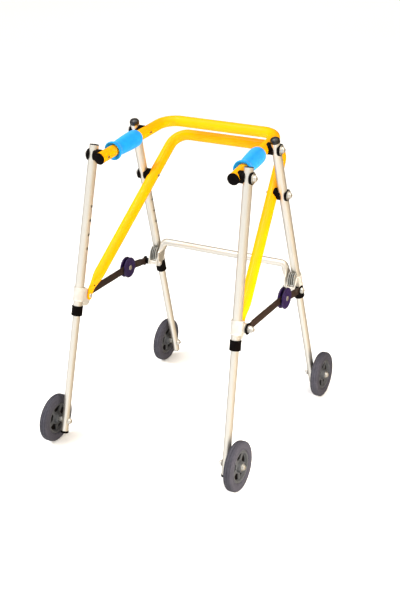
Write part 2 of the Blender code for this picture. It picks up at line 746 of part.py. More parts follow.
# Pivots
def make_pivot(name, side_name, side, pin, bar_direction):
    """Bolt, bar-side saddle, washer and dome nut at a place where a bar is hinged on a leg."""
    slant = math.asin(abs(bar_direction.x))
    head = -(PIVOT_OFFSET + BAR / 2 / math.cos(slant) + BOLT_HEAD / 2 * math.tan(slant) + GAP)
    outer_face = UPPER_TUBE / 2 + OUTER_SADDLE + GAP
    shank = BOLT / 2
    nut = outer_face + WASHER_THICKNESS
    outline = [
        (0, head - BOLT_HEAD_HEIGHT),
        (BOLT_HEAD / 2 - 1.5 * MM, head - BOLT_HEAD_HEIGHT),
        (BOLT_HEAD / 2, head),
        (shank, head),
        (shank, outer_face),
        (WASHER / 2, outer_face),
        (WASHER / 2, nut),
        (NUT / 2, nut),
        (NUT / 2, nut + NUT_HEIGHT * 0.5),
        (NUT / 4, nut + NUT_HEIGHT),
        (0, nut + NUT_HEIGHT),
    ]
    at_pin = Matrix.Translation(pin)
    bolt = place(f"{name}_{side_name}", about_x(turned(outline, 8)), at_pin, side, BLACK)
    bar_centre = pin - Vector((PIVOT_OFFSET, 0, 0))
    across = Vector((1, 0, 0))
    across = (across - bar_direction * across.dot(bar_direction)).normalized()
    around = frame_of(bar_centre, across, bar_direction)
    low = -PIVOT_OFFSET + BAR / 2 * SADDLE_WRAP
    high = -UPPER_TUBE / 2 - SADDLE / 2 - GAP / 2
    seat = BAR / 2 / math.cos(math.pi / BAR_SIDES) + GAP
    saddle = saddle_helper(f"{name}_saddle_{side_name}", side, pin, low, high, around, seat)
    boolean(bolt, saddle, "UNION")


# Brackets
def make_front_bracket(side_name, side):
    low = FRONT_SLEEVE_START
    high = low + FRONT_SLEEVE_LENGTH
    sleeve = pipe(UPPER_TUBE / 2 + GAP + SLEEVE_WALL, SLEEVE_WALL, low, high)
    bracket = place(f"front_bracket_{side_name}", sleeve, FRONT_LEG, side, ALUMINIUM)
    leg_up = FRONT_LEG.to_3x3() @ Vector((0, 0, 1))
    up = Vector((0, leg_up.y, leg_up.z)).normalized()
    back = Vector((0, up.z, -up.y))
    near = -LUG_REACH + UPPER_TUBE / 2 + SLEEVE_WALL * 0.6
    corners = [(near, low - LUG_HEIGHT + 1 * MM), (near, high - LUG_HEIGHT - 1 * MM)]
    for step in range(8):
        angle = math.radians(85 - 25 * step)
        corners.append((LUG_RADIUS * math.cos(angle), LUG_RADIUS * math.sin(angle)))
    outline = [((back * y + up * z).y, (back * y + up * z).z) for y, z in corners]
    lug_frame = Matrix.Translation((LUG_X, LUG_PIN.y, LUG_PIN.z))
    half_lug = LUG_THICKNESS / 2
    lug = helper(f"lug_{side_name}", prism(outline, -half_lug, half_lug), lug_frame, side)
    stud_frame = Matrix.Translation((0, LUG_PIN.y, LUG_PIN.z))
    stud = stud_with_nut(LUG_OUTER_X, FRONT_STRIP_X)
    stud = helper(f"lug_stud_{side_name}", stud, stud_frame, side)
    boolean(bracket, lug, "UNION")
    boolean(bracket, stud, "UNION")


def stud_with_nut(from_x, strip_x):
    """A stud on X with a wide spacer, room for one stay strip, and a nut outside it."""
    radius = STUD / 2
    strip_out = strip_x + STRIP + GAP
    outline = [
        (0, from_x - 3 * MM),
        (radius, from_x - 3 * MM),
        (radius, from_x - 1 * MM),
        (FRONT_SPACER / 2, from_x - 1 * MM),
        (FRONT_SPACER / 2, strip_x - GAP),
        (radius, strip_x - GAP),
        (radius, strip_out),
        (NUT / 2, strip_out),
        (NUT / 2, strip_out + NUT_HEIGHT * 0.6),
        (NUT / 4, strip_out + NUT_HEIGHT),
        (0, strip_out + NUT_HEIGHT),
    ]
    return about_x(turned(outline, 10))


REAR_SLEEVE_RADIUS = UPPER_TUBE / 2 + GAP + SLEEVE_WALL
REAR_SLEEVE_TOP = on_leg(REAR_LEG, REAR_SLEEVE_START + REAR_SLEEVE_LENGTH)
REAR_SLEEVE_CORNER = REAR_SLEEVE_RADIUS / math.cos(math.pi / TUBE_SIDES)
REAR_BLOCK_INNER_X = REAR_SLEEVE_TOP.x - REAR_SLEEVE_CORNER
REAR_BLOCK_OUTER_X = REAR_BLOCK_INNER_X + 2 * REAR_SLEEVE_RADIUS - 2 * MM


def make_rear_bracket(side_name, side):
    low = REAR_SLEEVE_START
    sleeve = pipe(REAR_SLEEVE_RADIUS, SLEEVE_WALL, low, low + REAR_SLEEVE_LENGTH)
    bracket = place(f"rear_bracket_{side_name}", sleeve, REAR_LEG, side, ALUMINIUM)
    leg_up = REAR_LEG.to_3x3() @ Vector((0, 0, 1))
    up = Vector((0, leg_up.y, leg_up.z)).normalized()
    back = Vector((0, up.z, -up.y))
    near = STAY_REAR_REACH - UPPER_TUBE / 2 - SLEEVE_WALL * 0.6
    corners = [(near, BLOCK_RISE * 0.75), (near, -BLOCK_RADIUS)]
    for step in range(6):
        angle = math.radians(-90 - 18 * step)
        corners.append((BLOCK_RADIUS * math.cos(angle), BLOCK_RADIUS * math.sin(angle)))
    for step in range(5):
        angle = math.radians(170 - 20 * step)
        corners.append((near + near * 1.12 * math.cos(angle), BLOCK_RISE * math.sin(angle)))
    outline = [((back * y + up * z).y, (back * y + up * z).z) for y, z in corners]
    at_pin = Matrix.Translation((0, STAY_REAR_PIN.y, STAY_REAR_PIN.z))
    block = prism(outline, REAR_BLOCK_INNER_X, REAR_BLOCK_OUTER_X)
    boolean(bracket, helper(f"block_{side_name}", block, at_pin, side), "UNION")
    width = REAR_BLOCK_OUTER_X - REAR_BLOCK_INNER_X
    grooves = []
    for index in range(BLOCK_RIBS):
        middle = REAR_BLOCK_INNER_X + width * (index + 0.75) / (BLOCK_RIBS + 0.5)
        rim = [(point[0] * 1.6, point[1] * 1.6) for point in outline[8:]]
        inner = [(point[0] - 1e-6, point[1] - 1e-6) for point in reversed(outline[8:])]
        inner = [(y * 0.94, z * 0.94) for y, z in inner]
        grooves.append(prism(rim + inner, middle - 1.5 * MM, middle + 1.5 * MM))
    cut = helper(f"block_grooves_{side_name}", join_meshes(grooves), at_pin, side)
    boolean(bracket, cut, "DIFFERENCE")
    boolean(bracket, helper(f"block_stud_{side_name}", rear_stud(), at_pin, side), "UNION")


def rear_stud():
    radius = STUD / 2
    plate_in = REAR_BLOCK_INNER_X - 2 * GAP - CROSSBAR_FLAT
    strip_out = REAR_STRIP_X + STRIP + GAP
    outline = [
        (0, plate_in - 4 * MM),
        (NUT / 2 - 1.5 * MM, plate_in - 4 * MM),
        (NUT / 2, plate_in),
        (radius, plate_in),
        (radius, REAR_BLOCK_OUTER_X - 1 * MM),
        (REAR_SPACER / 2, REAR_BLOCK_OUTER_X - 1 * MM),
        (REAR_SPACER / 2, REAR_STRIP_X - GAP),
        (radius, REAR_STRIP_X - GAP),
        (radius, strip_out),
        (NUT / 2, strip_out),
        (NUT / 2, strip_out + NUT_HEIGHT * 0.6),
        (NUT / 4, strip_out + NUT_HEIGHT),
        (0, strip_out + NUT_HEIGHT),
    ]
    return about_x(turned(outline, 10))


# Folding stays
def make_link(name, side_name, side, start, end, low, sleeve_low):
    """A flat link from its frame pivot, the origin, to the elbow."""
    reach = Vector((0, end.y - start.y, end.z - start.z))
    length = reach.length
    angle = math.atan2(reach.z, reach.y)
    frame = Matrix.Translation((0, start.y, start.z)) @ Matrix.Rotation(angle, 4, "X")
    half = STRIP_WIDTH / 2
    ends = []
    for step in range(7):
        turn = math.radians(90 + 30 * step)
        ends.append((half * math.cos(turn), half * math.sin(turn)))
    outline = ends + [(length - y, -z) for y, z in ends]
    strip = prism(outline, low, low + STRIP)
    link = place(f"{name}_{side_name}", strip, frame, side, STAY_PAINT)
    half = SLEEVED_WIDTH / 2
    near, far = STAY_END_BARE, length - KNOB / 2 - 3 * MM
    block = [(near, -half), (far, -half), (far, half), (near, half)]
    sleeve = prism(block, sleeve_low, sleeve_low + SLEEVED_THICKNESS)
    boolean(link, helper(f"{name}_sleeve_{side_name}", sleeve, frame, side), "UNION")
    hole = about_x(rod(STUD / 2 + PIN_PLAY, low - 10 * MM, low + 10 * MM, 10))
    boolean(link, helper(f"{name}_hole_{side_name}", hole, frame, side), "DIFFERENCE")
    return link


def knob_disc(low, high, face_out):
    """One disc of the elbow knob, with a raised metal centre on its outer face."""
    radius = KNOB / 2
    edge = 1.5 * MM
    outline = [
        (0, low),
        (radius - edge, low),
        (radius, low + edge),
        (radius, high - edge),
        (radius - edge, high),
        (0, high),
    ]
    if face_out > 0:
        outline[-1:] = [(KNOB_CENTRE / 2, high), (KNOB_CENTRE / 2, high + 1.5 * MM), (0, high + 1.5 * MM)]
    else:
        outline[:1] = [(0, low - 1.5 * MM), (KNOB_CENTRE / 2, low - 1.5 * MM), (KNOB_CENTRE / 2, low)]
    return about_x(turned(outline, KNOB_SIDES))


def make_stay(side_name, side):
    front = make_link(
        "stay_front", side_name, side, LUG_PIN, ELBOW_PIN,
        FRONT_STRIP_X, FRONT_STRIP_X + STRIP - SLEEVED_THICKNESS,
    )
    make_link(
        "stay_rear", side_name, side, STAY_REAR_PIN, ELBOW_PIN, REAR_STRIP_X, REAR_STRIP_X,
    )
    at_elbow = Matrix.Translation(ELBOW_PIN)
    inner_face = FRONT_STRIP_X + 0.2 * MM
    inner_disc = knob_disc(inner_face - KNOB_THICKNESS, inner_face, -1)
    boolean(front, helper(f"elbow_disc_{side_name}", inner_disc, at_elbow, side), "UNION")
    outer_disc = knob_disc(NUT_X, NUT_X + KNOB_THICKNESS, 1)
    place(f"knob_{side_name}", outer_disc, at_elbow, side, KNOB_PLASTIC)


# The whole walker
_, _, lower_foot, lower_corner = lower_arm_line()
lower_direction = (lower_corner - lower_foot).normalized()

make_handle_bar()
make_lower_bar()
make_crossbar()
for side_name, side in SIDES.items():
    for end, wheel, leg, top, pins in (
        ("front", FRONT_WHEEL, FRONT_LEG, FRONT_LEG_TOP, [HANDLE_PIN]),
        ("rear", REAR_WHEEL, REAR_LEG, REAR_LEG_TOP, [REAR_TOP_PIN, REAR_MID_PIN]),
    ):
        make_wheel(end, side_name, side, wheel)
        make_axle(end, side_name, side, leg)
        make_lower_leg(end, side_name, side, leg)
        make_upper_leg(end, side_name, side, leg, top, pins)
        make_collar(end, side_name, side, leg)
    plug_radius = UPPER_TUBE / 2
    make_leg_top("front", side_name, side, FRONT_LEG, FRONT_LEG_TOP, plug_radius,
                 TOP_PLUG_THICKNESS, ALUMINIUM)
    make_leg_top("rear", side_name, side, REAR_LEG, REAR_LEG_TOP, CAP_DIAMETER / 2,
                 CAP_THICKNESS, BLACK)
    make_handle_end(side_name, side)
    make_pivot("front_top_pivot", side_name, side, HANDLE_PIN, handle_direction())
    make_pivot("rear_top_pivot", side_name, side, REAR_TOP_PIN, handle_direction())
    make_pivot("rear_mid_pivot", side_name, side, REAR_MID_PIN, lower_direction)
    make_front_bracket(side_name, side)
    make_rear_bracket(side_name, side)
    make_stay(side_name, side)
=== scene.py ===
# %% [markdown]
# # A child's posterior walker
# A posterior walker stands behind the child, who holds two foam grips and pulls it along. This one is
# a folding frame: two yellow U-bars, four telescoping aluminium legs and a wheel on each leg.
# The CAD model already holds every size and joint. This lesson dresses it: each bought or moulded
# part of the real walker becomes a piece of its own, with the edges, seats and finish that it has.

import math

import bmesh
import bpy
from mathutils import Matrix, Vector


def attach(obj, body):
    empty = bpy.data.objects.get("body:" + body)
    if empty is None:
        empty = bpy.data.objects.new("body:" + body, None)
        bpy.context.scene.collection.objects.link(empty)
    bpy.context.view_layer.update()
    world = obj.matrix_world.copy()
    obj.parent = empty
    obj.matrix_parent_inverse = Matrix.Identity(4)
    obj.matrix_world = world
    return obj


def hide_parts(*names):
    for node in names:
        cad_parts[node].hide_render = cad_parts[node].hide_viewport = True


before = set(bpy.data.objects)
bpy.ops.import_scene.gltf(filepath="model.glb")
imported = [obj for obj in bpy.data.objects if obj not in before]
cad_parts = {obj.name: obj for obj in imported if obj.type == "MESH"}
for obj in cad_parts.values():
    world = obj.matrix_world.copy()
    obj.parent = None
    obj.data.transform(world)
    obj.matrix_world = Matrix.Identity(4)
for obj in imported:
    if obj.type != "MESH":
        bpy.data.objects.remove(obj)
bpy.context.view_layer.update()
MM = 0.001
SIDES = {"left": 1, "right": -1}

# %% [markdown]
# ## Colours
# A colour picker shows sRGB, which is how screens store colour, while Blender's shaders count light.
# One function turns a hex value into the linear numbers that a shader needs, so that every colour
# in this file can be compared with a photograph directly.


# %% One function for every colour
def srgb(code):
    """A colour such as #E29902 as linear red, green, blue and alpha."""
    channels = [int(code[start : start + 2], 16) / 255 for start in (1, 3, 5)]
    linear = [c / 12.92 if c <= 0.04045 else ((c + 0.055) / 1.055) ** 2.4 for c in channels]
    return (*linear, 1.0)


print("the palest powder yellow is", [round(c, 3) for c in srgb("#E29902")])

# %% [markdown]
# ## Nodes
# A procedural material is a small graph. Built by hand in code it gets long, so one helper adds a
# node with its settings and its incoming links, whatever kind of node it is. A second one starts an
# empty material with a name. The third turns the size
# of a real feature in millimetres into the scale that Blender's textures use.


def add(material, kind, settings=None, links=None):
    """A node whose settings are sockets, properties or a ramp's stops; links give (node, output).
    A socket goes by its name, or by its number where several share a name."""
    tree = material.node_tree
    node = tree.nodes.new(kind)
    for name, value in (settings or {}).items():
        if name == "stops":
            first, *middle, last = value
            elements = node.color_ramp.elements
            elements[0].position, elements[0].color = first
            elements[1].position, elements[1].color = last
            for position, colour in middle:
                elements.new(position).color = colour
        elif isinstance(name, int) or name in node.inputs.keys():
            node.inputs[name].default_value = value
        else:
            setattr(node, name, value)
    for name, (source, output) in (links or {}).items():
        tree.links.new(source.outputs[output], node.inputs[name])
    return node


def start_finish(name):
    material = bpy.data.materials.new(name)
    material.use_nodes = True
    material.node_tree.nodes.clear()
    return material


def per_feature(millimetres):
    """The texture scale at which one feature is this wide, because coordinates are in metres."""
    return 1000 / millimetres


print("a 2 mm grain has the scale", per_feature(2))

# %% [markdown]
# ## Yellow powder coat
# The U-bars are aluminium tube with a polyester powder coat: dry paint is sprayed on by static
# charge and melted in an oven. The film flows into a gloss skin with a faint orange peel, so the
# eye sees a deep, even yellow, broad highlights and a slight ripple in them. Orange peel is about
# 1.5 mm from crest to crest. A very slow drift of the colour stands for the film's thickness.

# %% Yellow powder coat
yellow = start_finish("yellow powder coat on aluminium tube")
at = add(yellow, "ShaderNodeTexCoord")
drift = add(
    yellow, "ShaderNodeTexNoise", {"Scale": per_feature(60), "Detail": 2.0},
    {"Vector": (at, "Object")},
)
tint = add(
    yellow,
    "ShaderNodeValToRGB",
    {"stops": [(0.3, srgb("#DC9300")), (0.7, srgb("#E29902"))]},
    {"Fac": (drift, "Fac")},
)
peel = add(
    yellow, "ShaderNodeTexNoise", {"Scale": per_feature(1.5), "Detail": 1.0},
    {"Vector": (at, "Object")},
)
gloss = add(
    yellow,
    "ShaderNodeMapRange",
    {"From Min": 0.3, "From Max": 0.7, "To Min": 0.2, "To Max": 0.3},
    {"Value": (drift, "Fac")},
)
ripple = add(
    yellow, "ShaderNodeBump", {"Strength": 0.12, "Distance": 0.1 * MM}, {"Height": (peel, "Fac")}
)
skin_of_paint = add(
    yellow,
    "ShaderNodeBsdfPrincipled",
    {"Metallic": 0.0, "IOR": 1.5, "Specular IOR Level": 0.06,
     "Coat Weight": 0.15, "Coat Roughness": 0.14},
    {"Base Color": (tint, "Color"), "Roughness": (gloss, "Result"), "Normal": (ripple, "Normal")},
)
add(yellow, "ShaderNodeOutputMaterial", {}, {"Surface": (skin_of_paint, "BSDF")})
print("finish:", yellow.name)

# %% [markdown]
# ## Anodised aluminium
# The legs are drawn aluminium tube. Drawing leaves hairlines along the tube, and anodising seals
# them under a thin, hard, slightly milky oxide. The eye sees a pale warm metal whose highlight is a
# long soft band. The hairlines are 0.3 mm apart on the real tube, too fine to show here, so they are
# drawn 1.2 mm apart, and 60 times longer than wide.

# %% Anodised aluminium
aluminium = start_finish("satin anodised aluminium tube")
at = add(aluminium, "ShaderNodeTexCoord")
drawn_out = add(
    aluminium, "ShaderNodeMapping", {"Scale": (1, 1, 1 / 60)}, {"Vector": (at, "Object")}
)
hairlines = add(
    aluminium,
    "ShaderNodeTexNoise",
    {"Scale": per_feature(1.2), "Detail": 3.0, "Roughness": 0.6},
    {"Vector": (drawn_out, "Vector")},
)
oxide = add(
    aluminium,
    "ShaderNodeValToRGB",
    {"stops": [(0.25, srgb("#E2DDD2")), (0.75, srgb("#ECE7DC"))]},
    {"Fac": (hairlines, "Fac")},
)
satin = add(
    aluminium,
    "ShaderNodeMapRange",
    {"From Min": 0.25, "From Max": 0.75, "To Min": 0.3, "To Max": 0.4},
    {"Value": (hairlines, "Fac")},
)
scratches = add(
    aluminium, "ShaderNodeBump", {"Strength": 0.1, "Distance": 0.05 * MM},
    {"Height": (hairlines, "Fac")},
)
drawn_metal = add(
    aluminium,
    "ShaderNodeBsdfPrincipled",
    {"Metallic": 0.9},
    {"Base Color": (oxide, "Color"), "Roughness": (satin, "Result"), "Normal": (scratches, "Normal")},
)
add(aluminium, "ShaderNodeOutputMaterial", {}, {"Surface": (drawn_metal, "BSDF")})
print("finish:", aluminium.name)

# %% [markdown]
# ## Lacquered cast aluminium
# The brackets that clamp the stays to the legs are die castings, shot-blasted and lacquered to match
# the tubes. Blasting leaves a fine, even grain with no direction, which the eye reads as a duller,
# flatter metal than the tube beside it. The grit is about 0.5 mm and is drawn 1 mm wide to show.
# The grooved gusset is the same casting in a darker, bluer grey, which paints the shade of its deep
# grooves. One short function makes both.


# %% Cast aluminium, lacquered and bare
def cast_aluminium(name, deep, pale, metallic):
    """A blasted casting: 1 mm grain in its gloss and relief, 14 mm clouds in its colour."""
    material = start_finish(name)
    place = add(material, "ShaderNodeTexCoord")
    grit = add(
        material, "ShaderNodeTexNoise", {"Scale": per_feature(1.0), "Detail": 2.0},
        {"Vector": (place, "Object")},
    )
    cloud = add(
        material, "ShaderNodeTexNoise", {"Scale": per_feature(14), "Detail": 3.0},
        {"Vector": (place, "Object")},
    )
    lacquer = add(
        material,
        "ShaderNodeValToRGB",
        {"stops": [(0.3, srgb(deep)), (0.7, srgb(pale))]},
        {"Fac": (cloud, "Fac")},
    )
    blasted = add(
        material,
        "ShaderNodeMapRange",
        {"From Min": 0.3, "From Max": 0.7, "To Min": 0.38, "To Max": 0.5},
        {"Value": (grit, "Fac")},
    )
    grain = add(
        material, "ShaderNodeBump", {"Strength": 0.2, "Distance": 0.1 * MM},
        {"Height": (grit, "Fac")},
    )
    metal = add(
        material,
        "ShaderNodeBsdfPrincipled",
        {"Metallic": metallic},
        {"Base Color": (lacquer, "Color"), "Roughness": (blasted, "Result"),
         "Normal": (grain, "Normal")},
    )
    add(material, "ShaderNodeOutputMaterial", {}, {"Surface": (metal, "BSDF")})
    return material


casting = cast_aluminium("lacquered die-cast aluminium", "#CCC8BF", "#D9D5CC", 0.6)
# A darker, bluer grey for the grooved gusset: painted shade of its deep grooves.
groove_shade_casting = cast_aluminium("die-cast aluminium darkened for groove shade", "#8B8B86", "#A3A39D", 0.7)
print("finishes:", casting.name, "and", groove_shade_casting.name)

# %% [markdown]
# ## Black moulded nylon
# Saddles, collars, end plugs and caps are injection-moulded glass-filled nylon. The mould is spark
# eroded, so the surface has a fine even texture of about 0.4 mm, drawn 0.8 mm wide here. The eye
# sees a black that is never quite black: a soft grey sheen on each rounded edge. The domed caps come
# from a polished mould and mirror the room in thin rings, so one short function makes both.


# %% Black moulded nylon, textured and polished
def black_moulding(name, specular, smooth, rough, relief):
    """Black nylon with a 9 mm drift in tone and gloss, and a 0.8 mm texture in its relief."""
    material = start_finish(name)
    place = add(material, "ShaderNodeTexCoord")
    spark = add(
        material, "ShaderNodeTexNoise", {"Scale": per_feature(0.8), "Detail": 2.0},
        {"Vector": (place, "Object")},
    )
    flow = add(
        material, "ShaderNodeTexNoise", {"Scale": per_feature(9), "Detail": 2.0},
        {"Vector": (place, "Object")},
    )
    soot = add(
        material,
        "ShaderNodeValToRGB",
        {"stops": [(0.3, srgb("#040202")), (0.7, srgb("#080505"))]},
        {"Fac": (flow, "Fac")},
    )
    gloss = add(
        material,
        "ShaderNodeMapRange",
        {"From Min": 0.3, "From Max": 0.7, "To Min": smooth, "To Max": rough},
        {"Value": (flow, "Fac")},
    )
    texture = add(
        material, "ShaderNodeBump", {"Strength": relief, "Distance": 0.08 * MM},
        {"Height": (spark, "Fac")},
    )
    plastic = add(
        material,
        "ShaderNodeBsdfPrincipled",
        {"Metallic": 0.0, "IOR": 1.53, "Specular IOR Level": specular},
        {"Base Color": (soot, "Color"), "Roughness": (gloss, "Result"), "Normal": (texture, "Normal")},
    )
    add(material, "ShaderNodeOutputMaterial", {}, {"Surface": (plastic, "BSDF")})
    return material


nylon = black_moulding("black glass-filled nylon moulding", 0.04, 0.36, 0.5, 0.2)
polished_nylon = black_moulding("black polished nylon moulding", 0.6, 0.16, 0.26, 0.05)
print("finishes:", nylon.name, "and", polished_nylon.name)

# %% [markdown]
# ## Blue foam
# The grips are nitrile foam, blown in a mould and ground to shape. Grinding opens the cells, so
# the skin is a dense field of pinholes, and light that enters them comes out soft: there is no
# highlight, only a gentle bright rim, which the sheen gives. Cells are 0.5 mm and are drawn 1 mm wide.

# %% Blue foam
foam = start_finish("blue closed-cell nitrile foam")
at = add(foam, "ShaderNodeTexCoord")
cells = add(
    foam,
    "ShaderNodeTexVoronoi",
    {"Scale": per_feature(1.0), "Randomness": 1.0},
    {"Vector": (at, "Object")},
)
mottle = add(
    foam, "ShaderNodeTexNoise", {"Scale": per_feature(12), "Detail": 4.0},
    {"Vector": (at, "Object")},
)
dye = add(
    foam,
    "ShaderNodeValToRGB",
    {"stops": [(0.3, srgb("#0480C6")), (0.7, srgb("#078BD0"))]},
    {"Fac": (mottle, "Fac")},
)
pinholes = add(
    foam, "ShaderNodeBump", {"Strength": 0.35, "Distance": 0.25 * MM},
    {"Height": (cells, "Distance")},
)
ground_foam = add(
    foam,
    "ShaderNodeBsdfPrincipled",
    {"Metallic": 0.0, "IOR": 1.45, "Specular IOR Level": 0.1, "Roughness": 0.85,
     "Sheen Weight": 0.12, "Sheen Roughness": 0.5},
    {"Base Color": (dye, "Color"), "Normal": (pinholes, "Normal")},
)
add(foam, "ShaderNodeOutputMaterial", {}, {"Surface": (ground_foam, "BSDF")})
print("finish:", foam.name)

# %% [markdown]
# ## Grey tyre rubber
# The tyres are thermoplastic rubber, moulded on to the hub. It is a dark, faintly violet grey that
# doesn't mark floors. It scuffs to a lighter grey where it rolls, and a bloom of dust stays in its
# texture, so the roughness is high and uneven. The scuffs are about 5 mm long and the grain 0.8 mm.

# %% Grey tyre rubber
rubber = start_finish("grey thermoplastic rubber")
at = add(rubber, "ShaderNodeTexCoord")
scuff = add(
    rubber,
    "ShaderNodeTexNoise",
    {"Scale": per_feature(5), "Detail": 5.0, "Roughness": 0.65},
    {"Vector": (at, "Object")},
)
bloom = add(
    rubber,
    "ShaderNodeValToRGB",
    {"stops": [(0.3, srgb("#2B2B32")), (0.75, srgb("#413F47"))]},
    {"Fac": (scuff, "Fac")},
)
dusty = add(
    rubber,
    "ShaderNodeMapRange",
    {"From Min": 0.3, "From Max": 0.7, "To Min": 0.5, "To Max": 0.68},
    {"Value": (scuff, "Fac")},
)
rubber_grain = add(
    rubber, "ShaderNodeTexNoise", {"Scale": per_feature(0.8)},
    {"Vector": (at, "Object")},
)
matt = add(
    rubber, "ShaderNodeBump", {"Strength": 0.2, "Distance": 0.1 * MM},
    {"Height": (rubber_grain, "Fac")},
)
tyre_rubber = add(
    rubber,
    "ShaderNodeBsdfPrincipled",
    {"Metallic": 0.0, "IOR": 1.5, "Specular IOR Level": 0.25},
    {"Base Color": (bloom, "Color"), "Roughness": (dusty, "Result"), "Normal": (matt, "Normal")},
)
add(rubber, "ShaderNodeOutputMaterial", {}, {"Surface": (tyre_rubber, "BSDF")})
print("finish:", rubber.name)

# %% [markdown]
# ## Grey hub plastic
# The hub is moulded polypropylene, a waxier plastic than nylon, in a dark grey. It shows faint
# flow marks a centimetre or so long, and a soft, wide highlight.

# %% Grey hub plastic
hub_plastic = start_finish("grey polypropylene moulding")
at = add(hub_plastic, "ShaderNodeTexCoord")
marks = add(
    hub_plastic, "ShaderNodeTexNoise", {"Scale": per_feature(10), "Detail": 3.0},
    {"Vector": (at, "Object")},
)
resin = add(
    hub_plastic,
    "ShaderNodeValToRGB",
    {"stops": [(0.3, srgb("#37383A")), (0.7, srgb("#454648"))]},
    {"Fac": (marks, "Fac")},
)
waxy = add(
    hub_plastic,
    "ShaderNodeMapRange",
    {"From Min": 0.3, "From Max": 0.7, "To Min": 0.38, "To Max": 0.5},
    {"Value": (marks, "Fac")},
)
hub_skin = add(
    hub_plastic,
    "ShaderNodeBsdfPrincipled",
    {"Metallic": 0.0, "IOR": 1.49, "Specular IOR Level": 0.25},
    {"Base Color": (resin, "Color"), "Roughness": (waxy, "Result")},
)
add(hub_plastic, "ShaderNodeOutputMaterial", {}, {"Surface": (hub_skin, "BSDF")})
print("finish:", hub_plastic.name)

# %% [markdown]
# ## Bright and dark fasteners
# Dome nuts, washers and axle nuts are nickel-plated steel: a bright, slightly warm mirror with
# faint smudges. The bolt heads on the bars are zinc-plated with a yellow passivation, which
# dulls to grey brown. Both are the same recipe with other numbers, so one short function makes them.


# %% Plated steels
def plated_steel(name, pale, deep, smooth, rough):
    """A plated metal whose smudges, 3 mm wide, change its colour and its gloss."""
    material = start_finish(name)
    place = add(material, "ShaderNodeTexCoord")
    smudge = add(
        material, "ShaderNodeTexNoise", {"Scale": per_feature(3), "Detail": 3.0},
        {"Vector": (place, "Object")},
    )
    plating = add(
        material,
        "ShaderNodeValToRGB",
        {"stops": [(0.3, srgb(deep)), (0.7, srgb(pale))]},
        {"Fac": (smudge, "Fac")},
    )
    polish = add(
        material,
        "ShaderNodeMapRange",
        {"From Min": 0.3, "From Max": 0.7, "To Min": smooth, "To Max": rough},
        {"Value": (smudge, "Fac")},
    )
    metal = add(
        material,
        "ShaderNodeBsdfPrincipled",
        {"Metallic": 1.0},
        {"Base Color": (plating, "Color"), "Roughness": (polish, "Result")},
    )
    add(material, "ShaderNodeOutputMaterial", {}, {"Surface": (metal, "BSDF")})
    return material


nickel = plated_steel("nickel-plated steel", "#F2F0EA", "#E4E2DC", 0.34, 0.46)
passivated = plated_steel("yellow-passivated zinc on steel", "#B9A567", "#95834A", 0.34, 0.46)
print("finishes:", nickel.name, "and", passivated.name)

# %% [markdown]
# ## Purple knob plastic
# The elbow knobs are ABS, coloured through in dark purple and moulded to a half gloss. ABS polishes
# where hands turn it, so the roughness drifts over a few millimetres. The colour is so deep that
# mostly its reflections show, and they make the flat faces look lighter than the rims.

# %% Purple knob plastic
purple = start_finish("dark purple ABS moulding")
at = add(purple, "ShaderNodeTexCoord")
handled = add(
    purple, "ShaderNodeTexNoise", {"Scale": per_feature(6), "Detail": 3.0},
    {"Vector": (at, "Object")},
)
pigment = add(
    purple,
    "ShaderNodeValToRGB",
    {"stops": [(0.3, srgb("#160A2C")), (0.7, srgb("#20103A"))]},
    {"Fac": (handled, "Fac")},
)
polished = add(
    purple,
    "ShaderNodeMapRange",
    {"From Min": 0.3, "From Max": 0.7, "To Min": 0.28, "To Max": 0.42},
    {"Value": (handled, "Fac")},
)
knob_skin = add(
    purple,
    "ShaderNodeBsdfPrincipled",
    {"Metallic": 0.0, "IOR": 1.53, "Specular IOR Level": 0.3},
    {"Base Color": (pigment, "Color"), "Roughness": (polished, "Result")},
)
add(purple, "ShaderNodeOutputMaterial", {}, {"Surface": (knob_skin, "BSDF")})
print("finish:", purple.name)

# %% [markdown]
# ## Black stay sleeve and paint
# The folding stays are flat steel strips in a brown-black vinyl sleeve, extruded and pushed on.
# Extruding draws faint lines along it, 1 mm apart, and the vinyl has a dull, dry shine. The bare
# ends have a thin black paint, which is the same colour, so both take this finish.

# %% Black stay vinyl
vinyl = start_finish("brown-black extruded vinyl")
at = add(vinyl, "ShaderNodeTexCoord")
lengthwise = add(vinyl, "ShaderNodeMapping", {"Scale": (1, 1 / 40, 1)}, {"Vector": (at, "Object")})
die_lines = add(
    vinyl,
    "ShaderNodeTexNoise",
    {"Scale": per_feature(1.0), "Detail": 2.0},
    {"Vector": (lengthwise, "Vector")},
)
char = add(
    vinyl,
    "ShaderNodeValToRGB",
    {"stops": [(0.3, srgb("#1C1310")), (0.7, srgb("#2C1F19"))]},
    {"Fac": (die_lines, "Fac")},
)
dry = add(
    vinyl,
    "ShaderNodeMapRange",
    {"From Min": 0.3, "From Max": 0.7, "To Min": 0.4, "To Max": 0.52},
    {"Value": (die_lines, "Fac")},
)
lines = add(
    vinyl, "ShaderNodeBump", {"Strength": 0.25, "Distance": 0.1 * MM},
    {"Height": (die_lines, "Fac")},
)
sleeve_skin = add(
    vinyl,
    "ShaderNodeBsdfPrincipled",
    {"Metallic": 0.0, "IOR": 1.54, "Specular IOR Level": 0.2},
    {"Base Color": (char, "Color"), "Roughness": (dry, "Result"), "Normal": (lines, "Normal")},
)
add(vinyl, "ShaderNodeOutputMaterial", {}, {"Surface": (sleeve_skin, "BSDF")})
print("finish:", vinyl.name)

# %% [markdown]
# ## Shapes turned on a lathe
# Tubes, nuts, knobs, tyres and grips are all round about one axis, so they can be drawn as half an
# outline and turned. Real edges are never sharp, and a bevel modifier on each piece would be slow,
# so the corners of the outline are rounded before it is turned. A ring can also be a
# hexagon, which lets one outline run from the flats of a nut into its dome.


